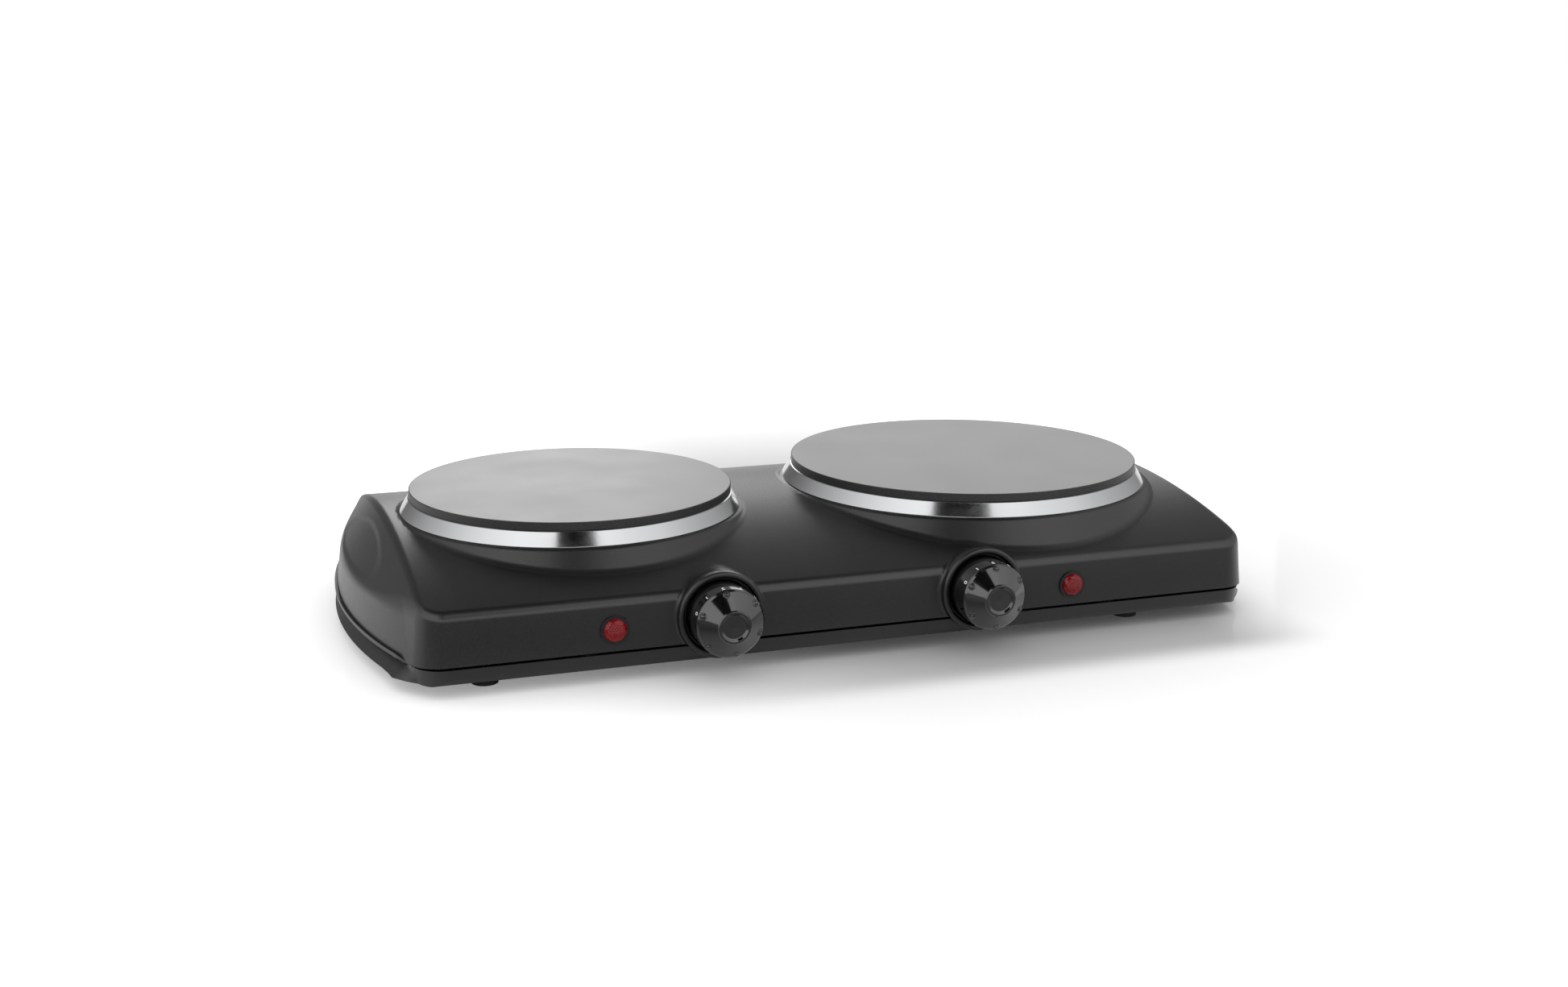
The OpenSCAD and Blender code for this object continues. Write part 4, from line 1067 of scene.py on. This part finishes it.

# White acrylic floor. It keeps the shadow, and a weak reflection that fades away from the hot
# plate. Painted shadow darkens the sheet from the hot plate's front edge backwards, mostly right
# of its middle; painted light lifts it on the left, and a glow lifts it towards white further out.
floor_mesh = bpy.data.meshes.new("floor")
floor_mesh.from_pydata([(-FLOOR, -FLOOR, 0), (FLOOR, -FLOOR, 0), (FLOOR, FLOOR, 0), (-FLOOR, FLOOR, 0)],
                       [], [(0, 1, 2, 3)])
material, tree, place = new_material("acrylic_sheet_white_gloss")
rays = add(tree, "ShaderNodeLightPath").outputs
inwards = add(tree, "ShaderNodeVectorMath", {0: place,
                                             1: (1 / FLOOR_CORE[0], 1 / FLOOR_CORE[1], 0)},
              operation="MULTIPLY")
reach = add(tree, "ShaderNodeVectorMath", {0: inwards}, operation="LENGTH")
sides = add(tree, "ShaderNodeSeparateXYZ", {0: place})
out, x, y = reach.outputs["Value"], sides.outputs["X"], sides.outputs["Y"]
# Each runs from one level to another while its input goes from one place to another
near, under, to_right, beside, far_lift, left_painted_light, front, across, close = [
    add(tree, "ShaderNodeMapRange", {"Value": value, "From Min": start, "From Max": end,
                                     "To Min": low, "To Max": high}, interpolation_type=easing)
    for value, start, end, low, high, easing in (
        (out, 1.0, 1.5, 1.0, 0.0, "SMOOTHSTEP"),          # near
        (y, -0.165, -0.13, 0.0, 0.5, "SMOOTHERSTEP"),     # under
        (x, -0.16, 0.06, 0.0, 1.0, "SMOOTHSTEP"),         # to_right
        (x, 0.17, 0.235, 1.0, 0.0, "SMOOTHSTEP"),         # beside
        (out, 1.2, 4.0, 0.0, 0.6, "SMOOTHSTEP"),          # far_lift
        (x, -0.22, 0.02, 0.3, 0.04, "SMOOTHSTEP"),        # left_painted_light
        (y, -0.17, -0.1, 0.0, 1.0, "SMOOTHSTEP"),         # front
        (x, -0.35, 0.45, 0.3, 0.85, "LINEAR"),            # across
        (y, -0.28, -0.15, 1.0, 0.4, "LINEAR"))]           # close
# Painted shadow: behind the front edge and right of the middle, the sheet's colour falls from 0.96 to
# 0.48
to_right = add(tree, "ShaderNodeMath", {0: to_right, 1: beside}, operation="MULTIPLY")
under = add(tree, "ShaderNodeMath", {0: under, 1: to_right}, operation="MULTIPLY")
sheet = add(tree, "ShaderNodeMix", {0: under, 2: 0.96, 3: 0.0})
matt = add(tree, "ShaderNodeBsdfDiffuse", {"Color": sheet})
# Painted light: the glow lifts the sheet mostly left of the hot plate's middle, on top of the lift
# towards white further out
lift = add(tree, "ShaderNodeMath", {0: far_lift, 1: left_painted_light}, operation="ADD")
glow = add(tree, "ShaderNodeEmission", {"Color": grey(1), "Strength": lift})
lifted = add(tree, "ShaderNodeAddShader", {0: matt, 1: glow})
# Painted shade for reflections: glossy rays see the sheet in front of the hot plate darker than
# it is, most of all close to it and on the left
across = add(tree, "ShaderNodeMath", {0: across, 1: close}, operation="MULTIPLY")
shade = add(tree, "ShaderNodeMix", {0: front, 2: across, 3: 0.95})
dimmed = add(tree, "ShaderNodeBsdfDiffuse", {"Color": shade})
gloss = add(tree, "ShaderNodeBsdfGlossy", {"Color": grey(1), "Roughness": 0.06})
edge = add(tree, "ShaderNodeFresnel", {"IOR": 1.5})
shine = add(tree, "ShaderNodeMath", {0: edge, 1: near}, operation="MULTIPLY")
shine = add(tree, "ShaderNodeMath", {0: shine, 1: FLOOR_SHINE}, operation="MULTIPLY")
both = add(tree, "ShaderNodeMixShader", {0: shine, 1: lifted, 2: gloss})
mirrored = add(tree, "ShaderNodeMixShader", {0: rays["Is Glossy Ray"], 1: matt, 2: dimmed})
seen = add(tree, "ShaderNodeMixShader", {0: rays["Is Camera Ray"], 1: mirrored, 2: both})
add(tree, "ShaderNodeOutputMaterial", {"Surface": seen})
floor_mesh.materials.append(material)
link("floor", floor_mesh)


def softbox(name, azimuth, elevation, distance, width, height, radiance):
    """Rectangular light seen from the hot plate at this azimuth (0 is in front, positive to
    the left) and elevation; its radiance is as bright as a white of this level."""
    a, e = math.radians(azimuth), math.radians(elevation)
    out = Vector((-math.sin(a) * math.cos(e), -math.cos(a) * math.cos(e), math.sin(e)))
    light = bpy.data.lights.new(name, "AREA")
    light.shape = "RECTANGLE"
    light.size, light.size_y = width, height
    light.energy = radiance * width * height * math.pi
    lamp = link(name, light)
    lamp.location = out * distance
    lamp.rotation_euler = out.to_track_quat("Z", "Y").to_euler()
    lamp.visible_camera = False


for box in SOFTBOXES:
    softbox(*box)

flag_mesh = bpy.data.meshes.new("flag")
flag_mesh.from_pydata([Vector(p) * MM for p in FLAG], [], [(0, 1, 2), (0, 2, 3), (0, 3, 4)])
material, tree, place = new_material("velvet_black_flag")
cover = add(tree, "ShaderNodeBsdfDiffuse", {"Color": grey(0.005)})
add(tree, "ShaderNodeOutputMaterial", {"Surface": cover})
flag_mesh.materials.append(material)
flag = link("flag", flag_mesh)
flag.visible_camera = flag.visible_diffuse = flag.visible_shadow = False
flag.visible_transmission = flag.visible_volume_scatter = False
